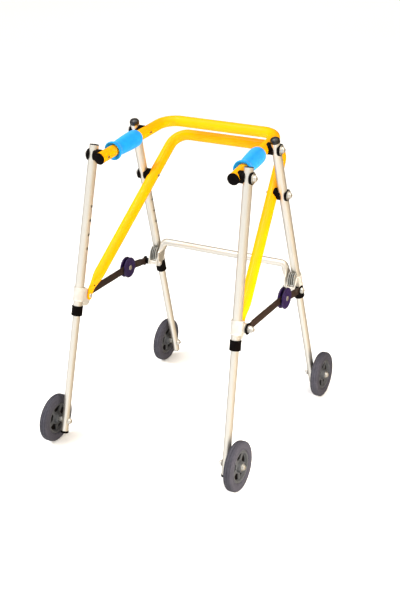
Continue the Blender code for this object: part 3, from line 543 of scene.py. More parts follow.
# %% Eased outlines and turned solids
def eased(outline, radius, closed=False, steps=3):
    """Rounds each corner of an outline by the radius, or by what its shorter side has room for."""
    points = [Vector(point[:2]) for point in outline]
    rounded_off = []
    for index, corner in enumerate(points):
        to_before = points[index - 1] - corner
        to_after = points[(index + 1) % len(points)] - corner
        at_end = not closed and index in (0, len(points) - 1)
        if at_end or math.pi - to_before.angle(to_after, math.pi) < math.radians(12):
            rounded_off.append(tuple(corner))
            continue
        reach = min(radius, 0.45 * to_before.length, 0.45 * to_after.length)
        start = corner + to_before.normalized() * reach
        end = corner + to_after.normalized() * reach
        for step in range(steps + 1):
            share = step / steps
            rounded_off.append(tuple(start.lerp(corner, share).lerp(corner.lerp(end, share), share)))
    return rounded_off


def turned(outline, sides=48, closed=False):
    """A solid about Z from (radius, height) points; a third number makes that ring a hexagon."""
    shape = bmesh.new()
    rings = []
    for radius, height, *hexagon in outline:
        corners = []
        for step in range(sides if radius else 1):
            angle = 2 * math.pi * step / sides
            reach = radius
            if hexagon:
                reach *= math.cos(math.pi / 6) / math.cos(angle % (math.pi / 3) - math.pi / 6)
            corners.append(shape.verts.new((reach * math.cos(angle), reach * math.sin(angle), height)))
        rings.append(corners if radius else corners * sides)
    if closed:
        rings.append(rings[0])
    for first, second in zip(rings, rings[1:]):
        for index in range(sides):
            after = (index + 1) % sides
            corners = dict.fromkeys([first[index], first[after], second[after], second[index]])
            if len(corners) > 2:
                shape.faces.new(list(corners))
    bmesh.ops.recalc_face_normals(shape, faces=shape.faces)
    return shape


def about_x(shape):
    """Lays a shape that was made about Z along X, which is how every axle and bolt lies."""
    bmesh.ops.rotate(shape, verts=shape.verts, matrix=Matrix.Rotation(math.pi / 2, 3, "Y"))
    return shape


def moved(shape, matrix):
    bmesh.ops.transform(shape, matrix=matrix, verts=shape.verts)
    return shape


def rod(radius, low, high, sides=24):
    return turned([(0, low), (radius, low), (radius, high), (0, high)], sides)


def in_mm(outline, lift=0, way=1):
    """An outline written in millimetres, raised by so many metres, and upside down where way is -1."""
    return [(radius * MM, way * height * MM + lift) for radius, height in outline]


def both_halves(half_outline):
    """A closed outline from the half of it that lies above the middle."""
    return [(radius, -height) for radius, height in reversed(half_outline)] + half_outline


print("corner of a square, eased:", len(eased([(0, 0), (1, 0), (1, 1)], 0.1)), "points")

# %% [markdown]
# ## Plates and joined shapes
# Lugs, strips and sleeves are cut from sheet or extruded: an outline with a thickness. The long
# edges are broken with a small two-step bevel, so that they catch light. Where a real part is one
# casting, its shapes are joined by an exact Boolean, and holes are cut the same way.


# %% Plates, cuts and joins
def plate(outline, low, high, edge):
    """A plate with a (y, z) outline, from x = low to x = high, and edges broken by so much."""
    shape = bmesh.new()
    near = [shape.verts.new((low, y, z)) for y, z in outline]
    far = [shape.verts.new((high, y, z)) for y, z in outline]
    shape.faces.new(near)
    shape.faces.new(far)
    for index in range(len(near)):
        after = (index + 1) % len(near)
        shape.faces.new((near[index], near[after], far[after], far[index]))
    bmesh.ops.recalc_face_normals(shape, faces=shape.faces)
    sharp = [line for line in shape.edges if line.calc_face_angle(0) > math.radians(50)]
    if edge:
        bmesh.ops.bevel(
            shape, geom=sharp, offset=edge, segments=2, profile=0.5, affect="EDGES", clamp_overlap=True
        )
    return shape


def carved(shape, tools, operation="DIFFERENCE"):
    """The shape with each tool cut out of it or joined to it; they all share one frame."""
    parts = []
    for part in (shape, *tools):
        mesh = bpy.data.meshes.new("blank")
        part.to_mesh(mesh)
        part.free()
        parts.append(bpy.data.objects.new("blank", mesh))
        bpy.context.scene.collection.objects.link(parts[-1])
    for tool in parts[1:]:
        modifier = parts[0].modifiers.new("carve", "BOOLEAN")
        modifier.operation = operation
        modifier.solver = "EXACT"
        modifier.object = tool
    result = bmesh.new()
    result.from_object(parts[0], bpy.context.evaluated_depsgraph_get())
    for part in parts:
        mesh = part.data
        bpy.data.objects.remove(part)
        bpy.data.meshes.remove(mesh)
    return result


trial = carved(rod(5 * MM, 0, 5 * MM), [rod(2 * MM, -1 * MM, 6 * MM)])
print("a washer with a hole has", len(trial.faces), "faces")
trial.free()

# %% [markdown]
# ## Tubes bent along a line
# The U-bars and the crossbar are tubes bent on a former. Blender's curves could do this, but the
# ends of two of them are pressed flat, so the section has to change along the way. A skin of
# rings is laid along the bent line instead, and each ring may go from a circle to a flat, rounded
# rectangle. Long straights get extra rings, so that drilled holes don't disturb the shading.


# %% Bent lines and swept tubes
def rounded(points, bend, steps=12):
    """A bent line whose inner corners turn on arcs of the bend radius."""
    line = [points[0]]
    for before, corner, after in zip(points, points[1:], points[2:]):
        to_before = (before - corner).normalized()
        to_after = (after - corner).normalized()
        half = to_before.angle(to_after) / 2
        centre = corner + (to_before + to_after).normalized() * (bend / math.sin(half))
        start = corner + to_before * (bend / math.tan(half)) - centre
        end = corner + to_after * (bend / math.tan(half)) - centre
        axis = start.cross(end).normalized()
        for step in range(steps + 1):
            turn = (math.pi - 2 * half) * step / steps
            line.append(centre + Matrix.Rotation(turn, 3, axis) @ start)
    line.append(points[-1])
    return line


def spaced(line, longest):
    """The same line with a point at least every so many metres."""
    result = [line[0]]
    for start, end in zip(line, line[1:]):
        count = max(1, math.ceil((end - start).length / longest))
        result += [start.lerp(end, (step + 1) / count) for step in range(count)]
    return result


def both_sides(half_line):
    """A line known from its left end to the middle, continued to its right end."""
    return half_line + [Vector((-point.x, point.y, point.z)) for point in reversed(half_line)]


def swept(line, normal, sections, bores=None, sides=36):
    """A tube; each section is (half across, half up, squareness), and bores hollow it."""
    shape = bmesh.new()
    shells = []
    for sizes in [sections, bores] if bores else [sections]:
        rings = []
        for index, point in enumerate(line):
            before = line[max(index - 1, 0)]
            after = line[min(index + 1, len(line) - 1)]
            tangent = (after - before).normalized()
            across = normal.cross(tangent).normalized()
            up = tangent.cross(across)
            half_across, half_up, squareness = sizes[index]
            power = 1 / (1 + 2 * squareness)
            ring = []
            for step in range(sides):
                angle = 2 * math.pi * (step + 0.5) / sides
                x = math.copysign(abs(math.cos(angle)) ** power, math.cos(angle))
                y = math.copysign(abs(math.sin(angle)) ** power, math.sin(angle))
                ring.append(shape.verts.new(point + across * (x * half_across) + up * (y * half_up)))
            rings.append(ring)
        for first, second in zip(rings, rings[1:]):
            for index in range(sides):
                after = (index + 1) % sides
                shape.faces.new((first[index], first[after], second[after], second[index]))
        shells.append(rings)
    for end in (0, -1):
        if not bores:
            shape.faces.new(shells[0][end])
            continue
        for index in range(sides):
            after = (index + 1) % sides
            outer, inner = shells[0][end], shells[1][end]
            shape.faces.new((outer[index], outer[after], inner[after], inner[index]))
    bmesh.ops.recalc_face_normals(shape, faces=shape.faces)
    return shape


right_angle = [Vector((0, 0, 0)), Vector((1, 0, 0)), Vector((1, 1, 0))]
print("a right-angled bend has", len(rounded(right_angle, 0.1)), "points")

# %% [markdown]
# ## Finished pieces
# Every piece is shaped for the child's left and mirrored for the right, like the real walker's
# parts. It keeps its own frame, a leg's, a wheel's or a bolt's, so that hairlines run along the
# tube wherever it stands. Then it is hung on the CAD body that it moves with, and the CAD node that it
# stands for is hidden.

# %% One way to finish a piece
MIRROR = Matrix.Diagonal((-1, 1, 1, 1))
made_pieces = []


def piece(name, shape, place, side, body, material, node, crease=40):
    """A named object from a shape, riding on a body and standing for a CAD node."""
    if side < 0:
        bmesh.ops.scale(shape, verts=shape.verts, vec=(-1, 1, 1))
        bmesh.ops.reverse_faces(shape, faces=shape.faces)
        place = MIRROR @ place @ MIRROR
    mesh = bpy.data.meshes.new(name)
    shape.to_mesh(mesh)
    shape.free()
    mesh.shade_smooth()
    mesh.set_sharp_from_angle(angle=math.radians(crease))
    mesh.materials.append(material)
    made = bpy.data.objects.new(name, mesh)
    bpy.context.scene.collection.objects.link(made)
    made.matrix_world = place
    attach(made, body)
    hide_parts(node)
    made_pieces.append(made)
    return made


def report(words, since):
    print(f"{words}: {len(made_pieces) - since} pieces")


# %% [markdown]
# ## Where things are
# These are the CAD's own measures. A leg's frame has its origin on the leg's centreline at the
# axle, Z up the leg and X straight outboard along the axle. The legs splay by 1.84 degrees, the front
# ones lean back by 10.9 and the rear ones forward by 19.95.

# %% Frames of the wheels and legs
SPLAY = math.radians(1.84)
FRONT_LEAN, REAR_LEAN = math.radians(10.9), math.radians(-19.95)
OUTWARD = Vector((math.cos(SPLAY), 0, math.sin(SPLAY)))
TYRE_RADIUS = 62.5 * MM
HALF_TREAD = 5 * MM
LEG_FROM_WHEEL = 30.6 * MM
AXLE_HEIGHT = TYRE_RADIUS * math.cos(SPLAY) + HALF_TREAD * math.sin(SPLAY)


def frame_of(origin, x_axis, z_axis):
    axes = Matrix((x_axis, z_axis.cross(x_axis), z_axis)).transposed().to_4x4()
    axes.translation = origin
    return axes


def wheel_frame(track, y):
    return frame_of(Vector((track / 2, y, AXLE_HEIGHT)), OUTWARD, Vector((-OUTWARD.z, 0, OUTWARD.x)))


def leg_frame(wheel, lean):
    up = Vector((-math.tan(SPLAY), math.tan(lean), 1)).normalized()
    return frame_of(wheel.translation - OUTWARD * LEG_FROM_WHEEL, OUTWARD, up)


WHEELS = {"front": wheel_frame(521 * MM, -284 * MM), "rear": wheel_frame(498 * MM, 284 * MM)}
LEGS = {"front": leg_frame(WHEELS["front"], FRONT_LEAN), "rear": leg_frame(WHEELS["rear"], REAR_LEAN)}
LEG_TOPS = {"front": 711 * MM, "rear": 762 * MM}


def on_leg(end, height, behind=0):
    """A point on a leg's centreline, or that far behind it."""
    up = LEGS[end].to_3x3() @ Vector((0, 0, 1))
    return LEGS[end].translation + up * height - Vector((1, 0, 0)).cross(up).normalized() * behind


PINS = {
    "front_top": on_leg("front", 687 * MM),
    "rear_top": on_leg("rear", 742 * MM),
    "rear_mid": on_leg("rear", 609 * MM),
}
LUG = on_leg("front", 327.4 * MM, 41.8 * MM)
BLOCK = on_leg("rear", 333.7 * MM, -35.3 * MM)
ELBOW = Vector((0, BLOCK.y - 101 * MM, BLOCK.z + 14 * MM))
print("pins, in mm:", {name: [round(1000 * x) for x in pin] for name, pin in PINS.items()})

# %% [markdown]
# ## The handle bar
# The upper U-bar is one 28 mm tube with two 45 mm bends. Its arms run forward past the front legs
# and end in plugs. It is drilled for the four pivot bolts. The tube is hollow here too, with a 2 mm
# wall, because the drilled holes and open ends would look wrong on a solid bar.

# %% Handle bar
BAR = 14 * MM
BAR_WALL = 2 * MM
BAR_BEND = 45 * MM
BAR_FROM_LEG = 29.9 * MM
PIVOT_HOLE = 3.4 * MM
STUD_HOLE = 4.4 * MM
arm_front = PINS["front_top"] - Vector((BAR_FROM_LEG, 0, 0))
arm_rear = PINS["rear_top"] - Vector((BAR_FROM_LEG, 0, 0))
HANDLE_WAY = (arm_rear - arm_front).normalized()


def handle_arm(y):
    return arm_front.lerp(arm_rear, (y - arm_front.y) / (arm_rear.y - arm_front.y))


def bolt_holes(*pins, radius=PIVOT_HOLE):
    """Cutters through a bar, on both sides."""
    cutters = []
    for pin in pins:
        for side in SIDES.values():
            at_pin = Matrix.Translation((side * pin.x, pin.y, pin.z))
            cutters.append(moved(about_x(rod(radius, -60 * MM, 60 * MM)), at_pin))
    return cutters


since = len(made_pieces)
corners = both_sides(
    [handle_arm(arm_front.y) - HANDLE_WAY * 18 * MM, handle_arm(PINS["rear_top"].y + 99 * MM)]
)
line = spaced(rounded(corners, BAR_BEND), 16 * MM)
normal = (corners[1] - corners[0]).cross(corners[2] - corners[1]).normalized()
bore = BAR - BAR_WALL
tube = swept(line, normal, [(BAR, BAR, 0)] * len(line), [(bore, bore, 0)] * len(line))
tube = carved(tube, bolt_holes(PINS["front_top"], PINS["rear_top"]))
piece("upper_u_bar", tube, Matrix(), 1, "handle_frame", yellow, "handle_bar")
report("handle bar", since)

# %% [markdown]
# ## The lower bar
# The lower U-bar is the same tube, but its two ends are pressed flat and rounded into tongues that
# bolt to the front brackets. A press changes the section gradually over about 50 mm, so the
# rings here go from a circle to a flat, rounded rectangle on an S-shaped curve. A small dark rivet
# sits where each tongue widens into the tube.

# %% Lower bar
LUG_X = LUG.x - 1.4 * MM
HALF_LUG = HALF_TONGUE = 2.5 * MM
GAP = 0.3 * MM
TONGUE_X = LUG_X - HALF_LUG - GAP - HALF_TONGUE
RIVET = Vector((207.9, -165.5, 397.9)) * MM
lug_end = Vector((TONGUE_X, LUG.y, LUG.z))
tongue_up = Vector((0, math.sin(math.radians(21)), math.cos(math.radians(21))))
foot = lug_end + Vector((-7.5, 37, 50)) * MM
middle = PINS["rear_mid"] - Vector((BAR_FROM_LEG, 0, 0))
lower_corner = foot.lerp(middle, (middle.y + 97 * MM - foot.y) / (middle.y - foot.y))
LOWER_WAY = (lower_corner - foot).normalized()


def smooth(share):
    share = min(max(share, 0), 1)
    return share * share * (3 - 2 * share)


def pressed_sections(line, tip, flat, wide, pressed, round_from, full, thin=HALF_TONGUE):
    """Sections that are a rounded tip, a flat tongue and then, from pressed on, a tube again."""
    lengths = [0]
    for start, end in zip(line, line[1:]):
        lengths.append(lengths[-1] + (end - start).length)
    sections = []
    for length in lengths:
        along = min(length, lengths[-1] - length)
        share = smooth((along - pressed) / (round_from - pressed))
        width = flat + (wide - flat) * smooth((along - tip) / max(pressed - tip, 1e-6))
        half_up = width + (full - width) * share
        if along < tip:
            half_up = max(math.sqrt(max(tip**2 - (tip - along) ** 2, 0)) * flat / tip, 1 * MM)
        sections.append((thin + (full - thin) * share, half_up, 0.9 * (1 - share)))
    return sections


since = len(made_pieces)
corners = both_sides([lug_end - tongue_up * 11 * MM, lug_end + tongue_up * 17 * MM, foot, lower_corner])
line = spaced(rounded(corners, BAR_BEND), 14 * MM)
tip = [line[0].lerp(line[1], share) for share in (0, 0.05, 0.15, 0.3, 0.5, 0.75)]
line = tip + line[1:-1] + both_sides(tip)[len(tip) :]
normal = (lower_corner - foot).cross(Vector((-1, 0, 0))).normalized()
sections = pressed_sections(line, 9 * MM, 9.5 * MM, 12 * MM, 33 * MM, 80 * MM, BAR)
holes = bolt_holes(PINS["rear_mid"]) + bolt_holes(LUG, radius=STUD_HOLE)
tube = carved(swept(line, normal, sections), holes)
piece("lower_u_bar", tube, Matrix(), 1, "lower_frame", yellow, "lower_bar")
rivet_outline = [(0, -1), (2.1, -1), (2.3, 0.6), (1.6, 1.3), (0, 1.6)]
at_rivet = Matrix.Translation(RIVET) @ Matrix.Rotation(math.pi, 4, "Z")
for name, side in SIDES.items():
    rivet = about_x(turned(in_mm(rivet_outline), 24))
    piece(f"tongue_rivet_{name}", rivet, at_rivet, side, "lower_frame", nylon, "lower_bar")
report("lower bar", since)

# %% [markdown]
# ## The rear crossbar
# A pale 19 mm tube ties the two rear legs together. Its ends turn down on a tight bend and are
# pressed into broad flat feet, which bolt inside the rear brackets. It is the same pressed
# tube as before with other numbers.

# %% Rear crossbar
CROSSBAR = 9.5 * MM
REAR_SLEEVE = 14.7 * MM
sleeve_top = on_leg("rear", 353 * MM)
BLOCK_INNER = sleeve_top.x - REAR_SLEEVE / math.cos(math.pi / 12)
BLOCK_OUTER = BLOCK_INNER + 2 * REAR_SLEEVE - 2 * MM
since = len(made_pieces)
plate_x = BLOCK_INNER - GAP - HALF_TONGUE
tube_x = plate_x - 7 * MM
crossbar_y, crossbar_z = BLOCK.y + 13 * MM, BLOCK.z + 61 * MM
corners = both_sides(
    [
        Vector((plate_x, BLOCK.y, BLOCK.z - 9 * MM)),
        Vector((plate_x, crossbar_y + 1 * MM, crossbar_z - 31 * MM)),
        Vector((tube_x, crossbar_y, crossbar_z - 14 * MM)),
        Vector((tube_x, crossbar_y, crossbar_z)),
    ]
)
bend = rounded(corners[2:-2], 13 * MM)
line = spaced([corners[0], corners[1]] + bend + [corners[-2], corners[-1]], 5 * MM)
sections = pressed_sections(line, 9 * MM, 10 * MM, 19 * MM, 36 * MM, 66 * MM, CROSSBAR)
tube = carved(swept(line, Vector((0, 1, 0)), sections), bolt_holes(BLOCK, radius=STUD_HOLE))
piece("rear_cross_tube", tube, Matrix(), 1, "rear_frame", aluminium, "rear_crossbar")
report("crossbar", since)

# %% [markdown]
# ## Bar plugs and foam grips
# Each arm is closed by a black disc-headed plug. Behind it sits a foam grip that is slid on wet: a
# flared flange in front with a shallow dish in its face, a neck for the thumb, and a belly that
# fills the palm and rounds off at the back. All of it is round about the bar, so it is turned.

# %% Plugs and grips
arm_out = Vector((1, 0, 0)) - HANDLE_WAY * HANDLE_WAY.x
ARM_FRAME = frame_of(handle_arm(arm_front.y), arm_out.normalized(), HANDLE_WAY)
GRIP_START = 36 * MM
grip_outline = [
    (14.1, 8.5), (15.6, 7.6), (20.4, 3.4), (21.6, 1.2), (22.6, 0.1), (23.7, 0.9), (24.1, 3.3),
    (23.8, 6.2), (22.4, 9.6), (20.5, 13.2), (19.4, 17), (19.1, 22), (19.4, 29), (20.1, 40),
    (21.0, 54), (21.7, 70), (22.0, 86), (21.8, 95), (21.0, 101.5), (19.4, 106.4), (17.3, 109.2),
    (15.4, 110), (14.1, 110),
]
plug_outline = [
    (0, -22.0), (8, -21.9), (13.4, -21.2), (15, -20.2), (15, -18.3), (11.7, -18.3), (11.7, -8.3),
    (0, -8.3),
]
since = len(made_pieces)
for name, side in SIDES.items():
    plug = turned(eased(in_mm(plug_outline), 1 * MM))
    piece(f"arm_plug_{name}", plug, ARM_FRAME, side, "handle_frame", nylon, f"handle_plug_{name}")
    grip = turned(eased(in_mm(grip_outline, GRIP_START), 2.5 * MM, closed=True), 64, closed=True)
    grip = piece(f"foam_grip_{name}", grip, ARM_FRAME, side, "handle_frame", foam, f"grip_{name}", 60)
report("plugs and grips", since)

# %% [markdown]
# ## Telescoping legs
# The upper leg is a 22.8 mm tube with a row of five button holes in its inboard wall, 35.5 mm apart.
# The lower leg is a 19 mm tube inside it, with a spring button that snaps into one of them. The
# holes are a little wider than the CAD's, to show as clearly as on the real tube. The extra edge
# loops either side of each hole keep the long faces flat and evenly shaded.


# %% Leg tubes
def pipe(outer, inner, low, high, marks=()):
    """A tube about Z with eased rims, and edge loops at the marks."""
    heights = sorted({low, high, *marks})
    outline = [(outer, height) for height in heights]
    outline += [(inner, height) for height in reversed(heights)]
    return turned(eased(outline, 0.4 * MM, closed=True), closed=True)


def inboard_hole(diameter, height):
    return moved(about_x(rod(diameter / 2, -22 * MM, -5 * MM)), Matrix.Translation((0, 0, height)))


UPPER_TUBE, UPPER_BORE = 11.4 * MM, 10.2 * MM
LOWER_TUBE, LOWER_BORE = 9.5 * MM, 8 * MM
BUTTON_HEIGHT = 419 * MM
HOLE_PITCH = 35.5 * MM
HOLES = [BUTTON_HEIGHT + HOLE_PITCH * index for index in range(5)]
MARK = 6 * MM
LEG_PINS = {"front": ["front_top"], "rear": ["rear_top", "rear_mid"]}
LEG_BODY = {"front": "front_leg_{side}", "rear": "rear_frame"}
since = len(made_pieces)
for name, side in SIDES.items():
    for end, leg in LEGS.items():
        tag = f"{end}_{name}"
        body = LEG_BODY[end].format(side=name)
        marks = [height + shift for height in HOLES for shift in (-MARK, MARK)]
        tools = [inboard_hole(7.6 * MM, height) for height in HOLES]
        for pin in LEG_PINS[end]:
            at_pin = leg.inverted() @ Matrix.Translation(PINS[pin])
            marks += [at_pin.translation.z + shift for shift in (-MARK, MARK)]
            tools.append(moved(about_x(rod(PIVOT_HOLE, -20 * MM, 20 * MM)), at_pin))
        tube = carved(pipe(UPPER_TUBE, UPPER_BORE, 292 * MM, LEG_TOPS[end], marks), tools)
        piece(f"upper_tube_{tag}", tube, leg, side, body, aluminium, f"leg_upper_{tag}")

        marks = [BUTTON_HEIGHT - MARK, BUTTON_HEIGHT + MARK, -8 * MM, 8 * MM]
        tube = pipe(LOWER_TUBE, LOWER_BORE, -30 * MM, 447 * MM, marks)
        tools = [inboard_hole(6.8 * MM, BUTTON_HEIGHT), about_x(rod(STUD_HOLE, -20 * MM, 20 * MM))]
        lower = f"lower_leg_{tag}"
        piece(f"lower_tube_{tag}", carved(tube, tools), leg, side, lower, aluminium, f"leg_lower_{tag}")
report("leg tubes", since)

# %% [markdown]
# ## Collars, caps, tips and buttons
# A black collar closes the mouth of each upper tube, a taller one at the rear. The rear legs end in
# domed caps with moulded rings, the front ones in thin flush plugs. The lower legs end in plugs too,
# with a skirt over the tube in front. The plated snap button shows in the lowest hole. Everything is
# turned about the tube, except the button, which is turned about its own axis.

# %% Leg fittings
collar = [
    (9.8, 281), (13.4, 281), (14.2, 282), (14.2, 284.6), (13.8, 285.2), (13.8, 301.8), (14.2, 302.4),
    (14.2, 305), (13.4, 306), (11.7, 306), (11.7, 291), (9.8, 291),
]
tall_collar = [(radius, height + 12 if height > 295 else height) for radius, height in collar]
rear_cap = [
    (0, -7), (9.9, -7), (9.9, 0.3), (12.0, 0.3), (12.3, 3.5), (12.1, 6.0), (11.3, 8.7), (9.8, 10.6),
    (9.2, 10.3), (8.3, 11.2), (5.7, 12.6), (5.1, 12.2), (4.0, 12.4), (3.3, 13.1), (0, 13.3),
]
front_cap = [
    (0, -7), (9.9, -7), (9.9, 0.3), (11.4, 0.3), (11.4, 1.1), (10.6, 1.5), (8.6, 1.5), (8.0, 1.0),
    (0, 1.0),
]
foot_plug = [
    (0, -33.5), (8.2, -33.5), (9.8, -33), (10.4, -32.2), (10.4, -27.4), (9.6, -27.4), (9.6, -30.3),
    (7.7, -30.3), (7.7, -16), (0, -16),
]
thin_plug = [
    (0, -32.2), (8.2, -32.2), (9.3, -31.8), (9.4, -31.4), (9.4, -30.3), (7.7, -30.3), (7.7, -16),
    (0, -16),
]
button = [(0, -9.9), (1.6, -9.8), (2.6, -9.4), (3, -8.7), (3, -6.7), (4, -6.7), (4, -5.5), (0, -3.9)]
since = len(made_pieces)
for name, side in SIDES.items():
    for end, leg in LEGS.items():
        tag = f"{end}_{name}"
        body, lower = LEG_BODY[end].format(side=name), f"lower_leg_{tag}"
        ring = in_mm(tall_collar if end == "rear" else collar)
        ring = turned(eased(ring, 0.5 * MM, closed=True), closed=True)
        piece(f"collar_{tag}", ring, leg, side, body, nylon, f"leg_collar_{tag}")
        cap = turned(eased(in_mm(rear_cap if end == "rear" else front_cap, LEG_TOPS[end]), 0.4 * MM))
        piece(f"tube_cap_{tag}", cap, leg, side, body, polished_nylon, f"leg_cap_{tag}")
        tip = turned(eased(in_mm(thin_plug if end == "rear" else foot_plug), 0.4 * MM))
        piece(f"foot_plug_{tag}", tip, leg, side, lower, nylon, f"leg_tip_{tag}")
        at_button = leg @ Matrix.Translation((0, 0, BUTTON_HEIGHT))
        snap = about_x(turned(eased(in_mm(button), 0.3 * MM), 32))
        body, node = f"button_{tag}", f"snap_button_{tag}"
        piece(f"spring_button_{tag}", snap, at_button, side, body, nickel, node)
report("leg fittings", since)

# %% [markdown]
# ## Pivots
# Where a bar meets a leg, both tubes are round, so a black moulded saddle sits between each of them
# and the flat joint: a disc whose back is hollowed to hug the tube. A third saddle on the outside
# spreads the load of the nut. Then come a plated washer and a dome nut. Each saddle is a turned
# disc with the tube's own shape cut out of it, which gives the C-shaped horns seen from in front.


# %% Saddles, bolts, washers and dome nuts
# Radii of a saddle, of the hollows that hug a leg or a bar, and of the pivots' 6 mm bolts.
SADDLE, LEG_SEAT, BAR_SEAT, PIVOT_BOLT = 15 * MM, 11.45 * MM, 14.1 * MM, 3 * MM


def saddle(name, pin, low, high, tube_frame, tube_radius, side, body, node):
    """A disc from low to high along the bolt, hollowed by a tube of that frame and radius."""
    disc = turned(eased([(0, low), (SADDLE, low), (SADDLE, high), (0, high)], 0.9 * MM))
    seat = moved(rod(tube_radius, -30 * MM, 30 * MM, 48), Matrix.Translation(-pin) @ tube_frame)
    bolt_way = about_x(rod(PIVOT_HOLE, -40 * MM, 40 * MM))
    shape = carved(about_x(disc), [seat, bolt_way])
    piece(name, shape, Matrix.Translation(pin), side, body, nylon, node, 35)


def dome_nut(seat, size, height, bore):
    """A hexagon that runs into a dome; it stands on the seat and closes over the bolt."""
    flat = size * math.cos(math.pi / 6)
    outline = [
        (bore, seat), (size * 0.93, seat), (size, seat + 0.4 * MM, 1),
        (size, seat + height * 0.46, 1), (flat * 0.97, seat + height * 0.54),
    ]
    for step in range(7):
        angle = math.pi / 2 * step / 6
        rise = height * 0.42 * math.sin(angle)
        radius = flat * 0.84 * math.cos(angle)
        outline.append((radius if step < 6 else 0, seat + height * 0.58 + rise))
    return about_x(turned(outline))


def washer(low, high, radius, bore):
    outline = eased([(bore, low), (radius, low), (radius, high), (bore, high)], 0.3 * MM, closed=True)
    return about_x(turned(outline, closed=True))


def button_bolt(head, end, radius, across, height):
    """A bolt on X with a low domed head that has a hexagon socket; head is the face it seats on."""
    outline = [
        (0, head - height + 1.2 * MM), (across * 0.42, head - height + 1.2 * MM, 1),
        (across * 0.46, head - height, 1), (across * 0.72, head - height * 0.92),
        (across * 0.93, head - height * 0.5), (across, head), (radius, head), (radius, end), (0, end),
    ]
    return about_x(turned(outline))


def make_pivot(key, node, bar_body, leg_body, leg_node, way, side_name):
    """All pieces of one pivot; way is the direction in which the bar passes it."""
    side, pin = SIDES[side_name], PINS[key]
    end = key.split("_")[0]
    tag = f"{key}_{side_name}"
    around_leg = LEGS[end].copy()
    around_leg.translation = pin
    across = (Vector((1, 0, 0)) - way * way.x).normalized()
    around_bar = frame_of(pin - Vector((BAR_FROM_LEG, 0, 0)), across, way)
    for word, low, high in (("inner", -13.5 * MM, -5.1 * MM), ("outer", 6.6 * MM, 13 * MM)):
        named = f"saddle_leg_{word}_{tag}"
        saddle(named, pin, low, high, around_leg, LEG_SEAT, side, leg_body, leg_node)
    saddle(f"saddle_bar_{tag}", pin, -23.6 * MM, -13.8 * MM, around_bar, BAR_SEAT, side, bar_body, node)
    slant = math.asin(abs(way.x))
    head = -(BAR_FROM_LEG + BAR / math.cos(slant) + 5 * MM * math.tan(slant))
    at_pin = Matrix.Translation(pin)
    bolt = button_bolt(head, 19 * MM, PIVOT_BOLT, across=3.6 * MM, height=1.6 * MM)
    piece(f"pivot_bolt_{tag}", bolt, at_pin, side, bar_body, passivated, node)
    ring = washer(13.3 * MM, 14.5 * MM, 12.8 * MM, 3.1 * MM)
    piece(f"pivot_washer_{tag}", ring, at_pin, side, bar_body, nickel, node)
    nut = dome_nut(14.6 * MM, size=8.5 * MM, height=8.5 * MM, bore=3.05 * MM)
    piece(f"pivot_nut_{tag}", nut, at_pin, side, bar_body, nickel, node)


since = len(made_pieces)
for name in SIDES:
    make_pivot("front_top", f"front_top_pivot_{name}", "handle_frame", f"front_leg_{name}",
               f"leg_upper_front_{name}", HANDLE_WAY, name)
    make_pivot("rear_top", f"rear_top_pivot_{name}", "handle_frame", "rear_frame",
               f"leg_upper_rear_{name}", HANDLE_WAY, name)
    make_pivot("rear_mid", f"rear_mid_pivot_{name}", "lower_frame", "rear_frame",
               f"leg_upper_rear_{name}", LOWER_WAY, name)
report("pivots", since)

# %% [markdown]
# ## Front brackets
# A cast sleeve clamps each front leg and carries a lug behind it. The lower bar's tongue turns
# on the lug's inner face, and the front stay on a boss on its outer face, under a black washer and a
# dome nut. Sleeve, lug and boss are one casting, so they are joined, and the holes are cut last.

# %% Front brackets
LUG_OUTER = LUG_X + HALF_LUG
FRONT_STRIP = LUG_OUTER + 5.8 * MM
REAR_STRIP = FRONT_STRIP + 3.3 * MM
# Radii of the 8 mm studs and of what they pass: a cast hole, a washer and a nut.
STUD, STUD_SEAT, STUD_WASHER, STUD_NUT = 4 * MM, 4.2 * MM, 4.1 * MM, 4.05 * MM


def arc(radius, start, stop, steps, centre=(0, 0)):
    """Points of an arc in degrees, as (y, z)."""
    turns = [math.radians(start + (stop - start) * step / steps) for step in range(steps + 1)]
    y, z = centre
    return [(y + radius * math.cos(turn), z + radius * math.sin(turn)) for turn in turns]


def leaning(outline, end):
    """An outline drawn as (behind the leg, up the leg), turned to lean as that leg does."""
    up = LEGS[end].to_3x3() @ Vector((0, 0, 1))
    y, z = Vector((up.y, up.z)).normalized()
    return [(behind * z + rise * y, -behind * y + rise * z) for behind, rise in outline]


def rimmed_sleeve(low, high):
    """A sleeve round the upper tube with a bead at each end, from low to high in mm."""
    outline = [
        (11.7, low), (14.4, low), (14.7, low + 0.8), (14.7, low + 2.2), (13.9, low + 3.0),
        (13.9, high - 3.0), (14.7, high - 2.2), (14.7, high - 0.8), (14.4, high), (11.7, high),
    ]
    return turned(eased(in_mm(outline), 0.5 * MM, closed=True), closed=True)


def sleeve_bore():
    return rod(11.7 * MM, 300 * MM, 370 * MM, 48)


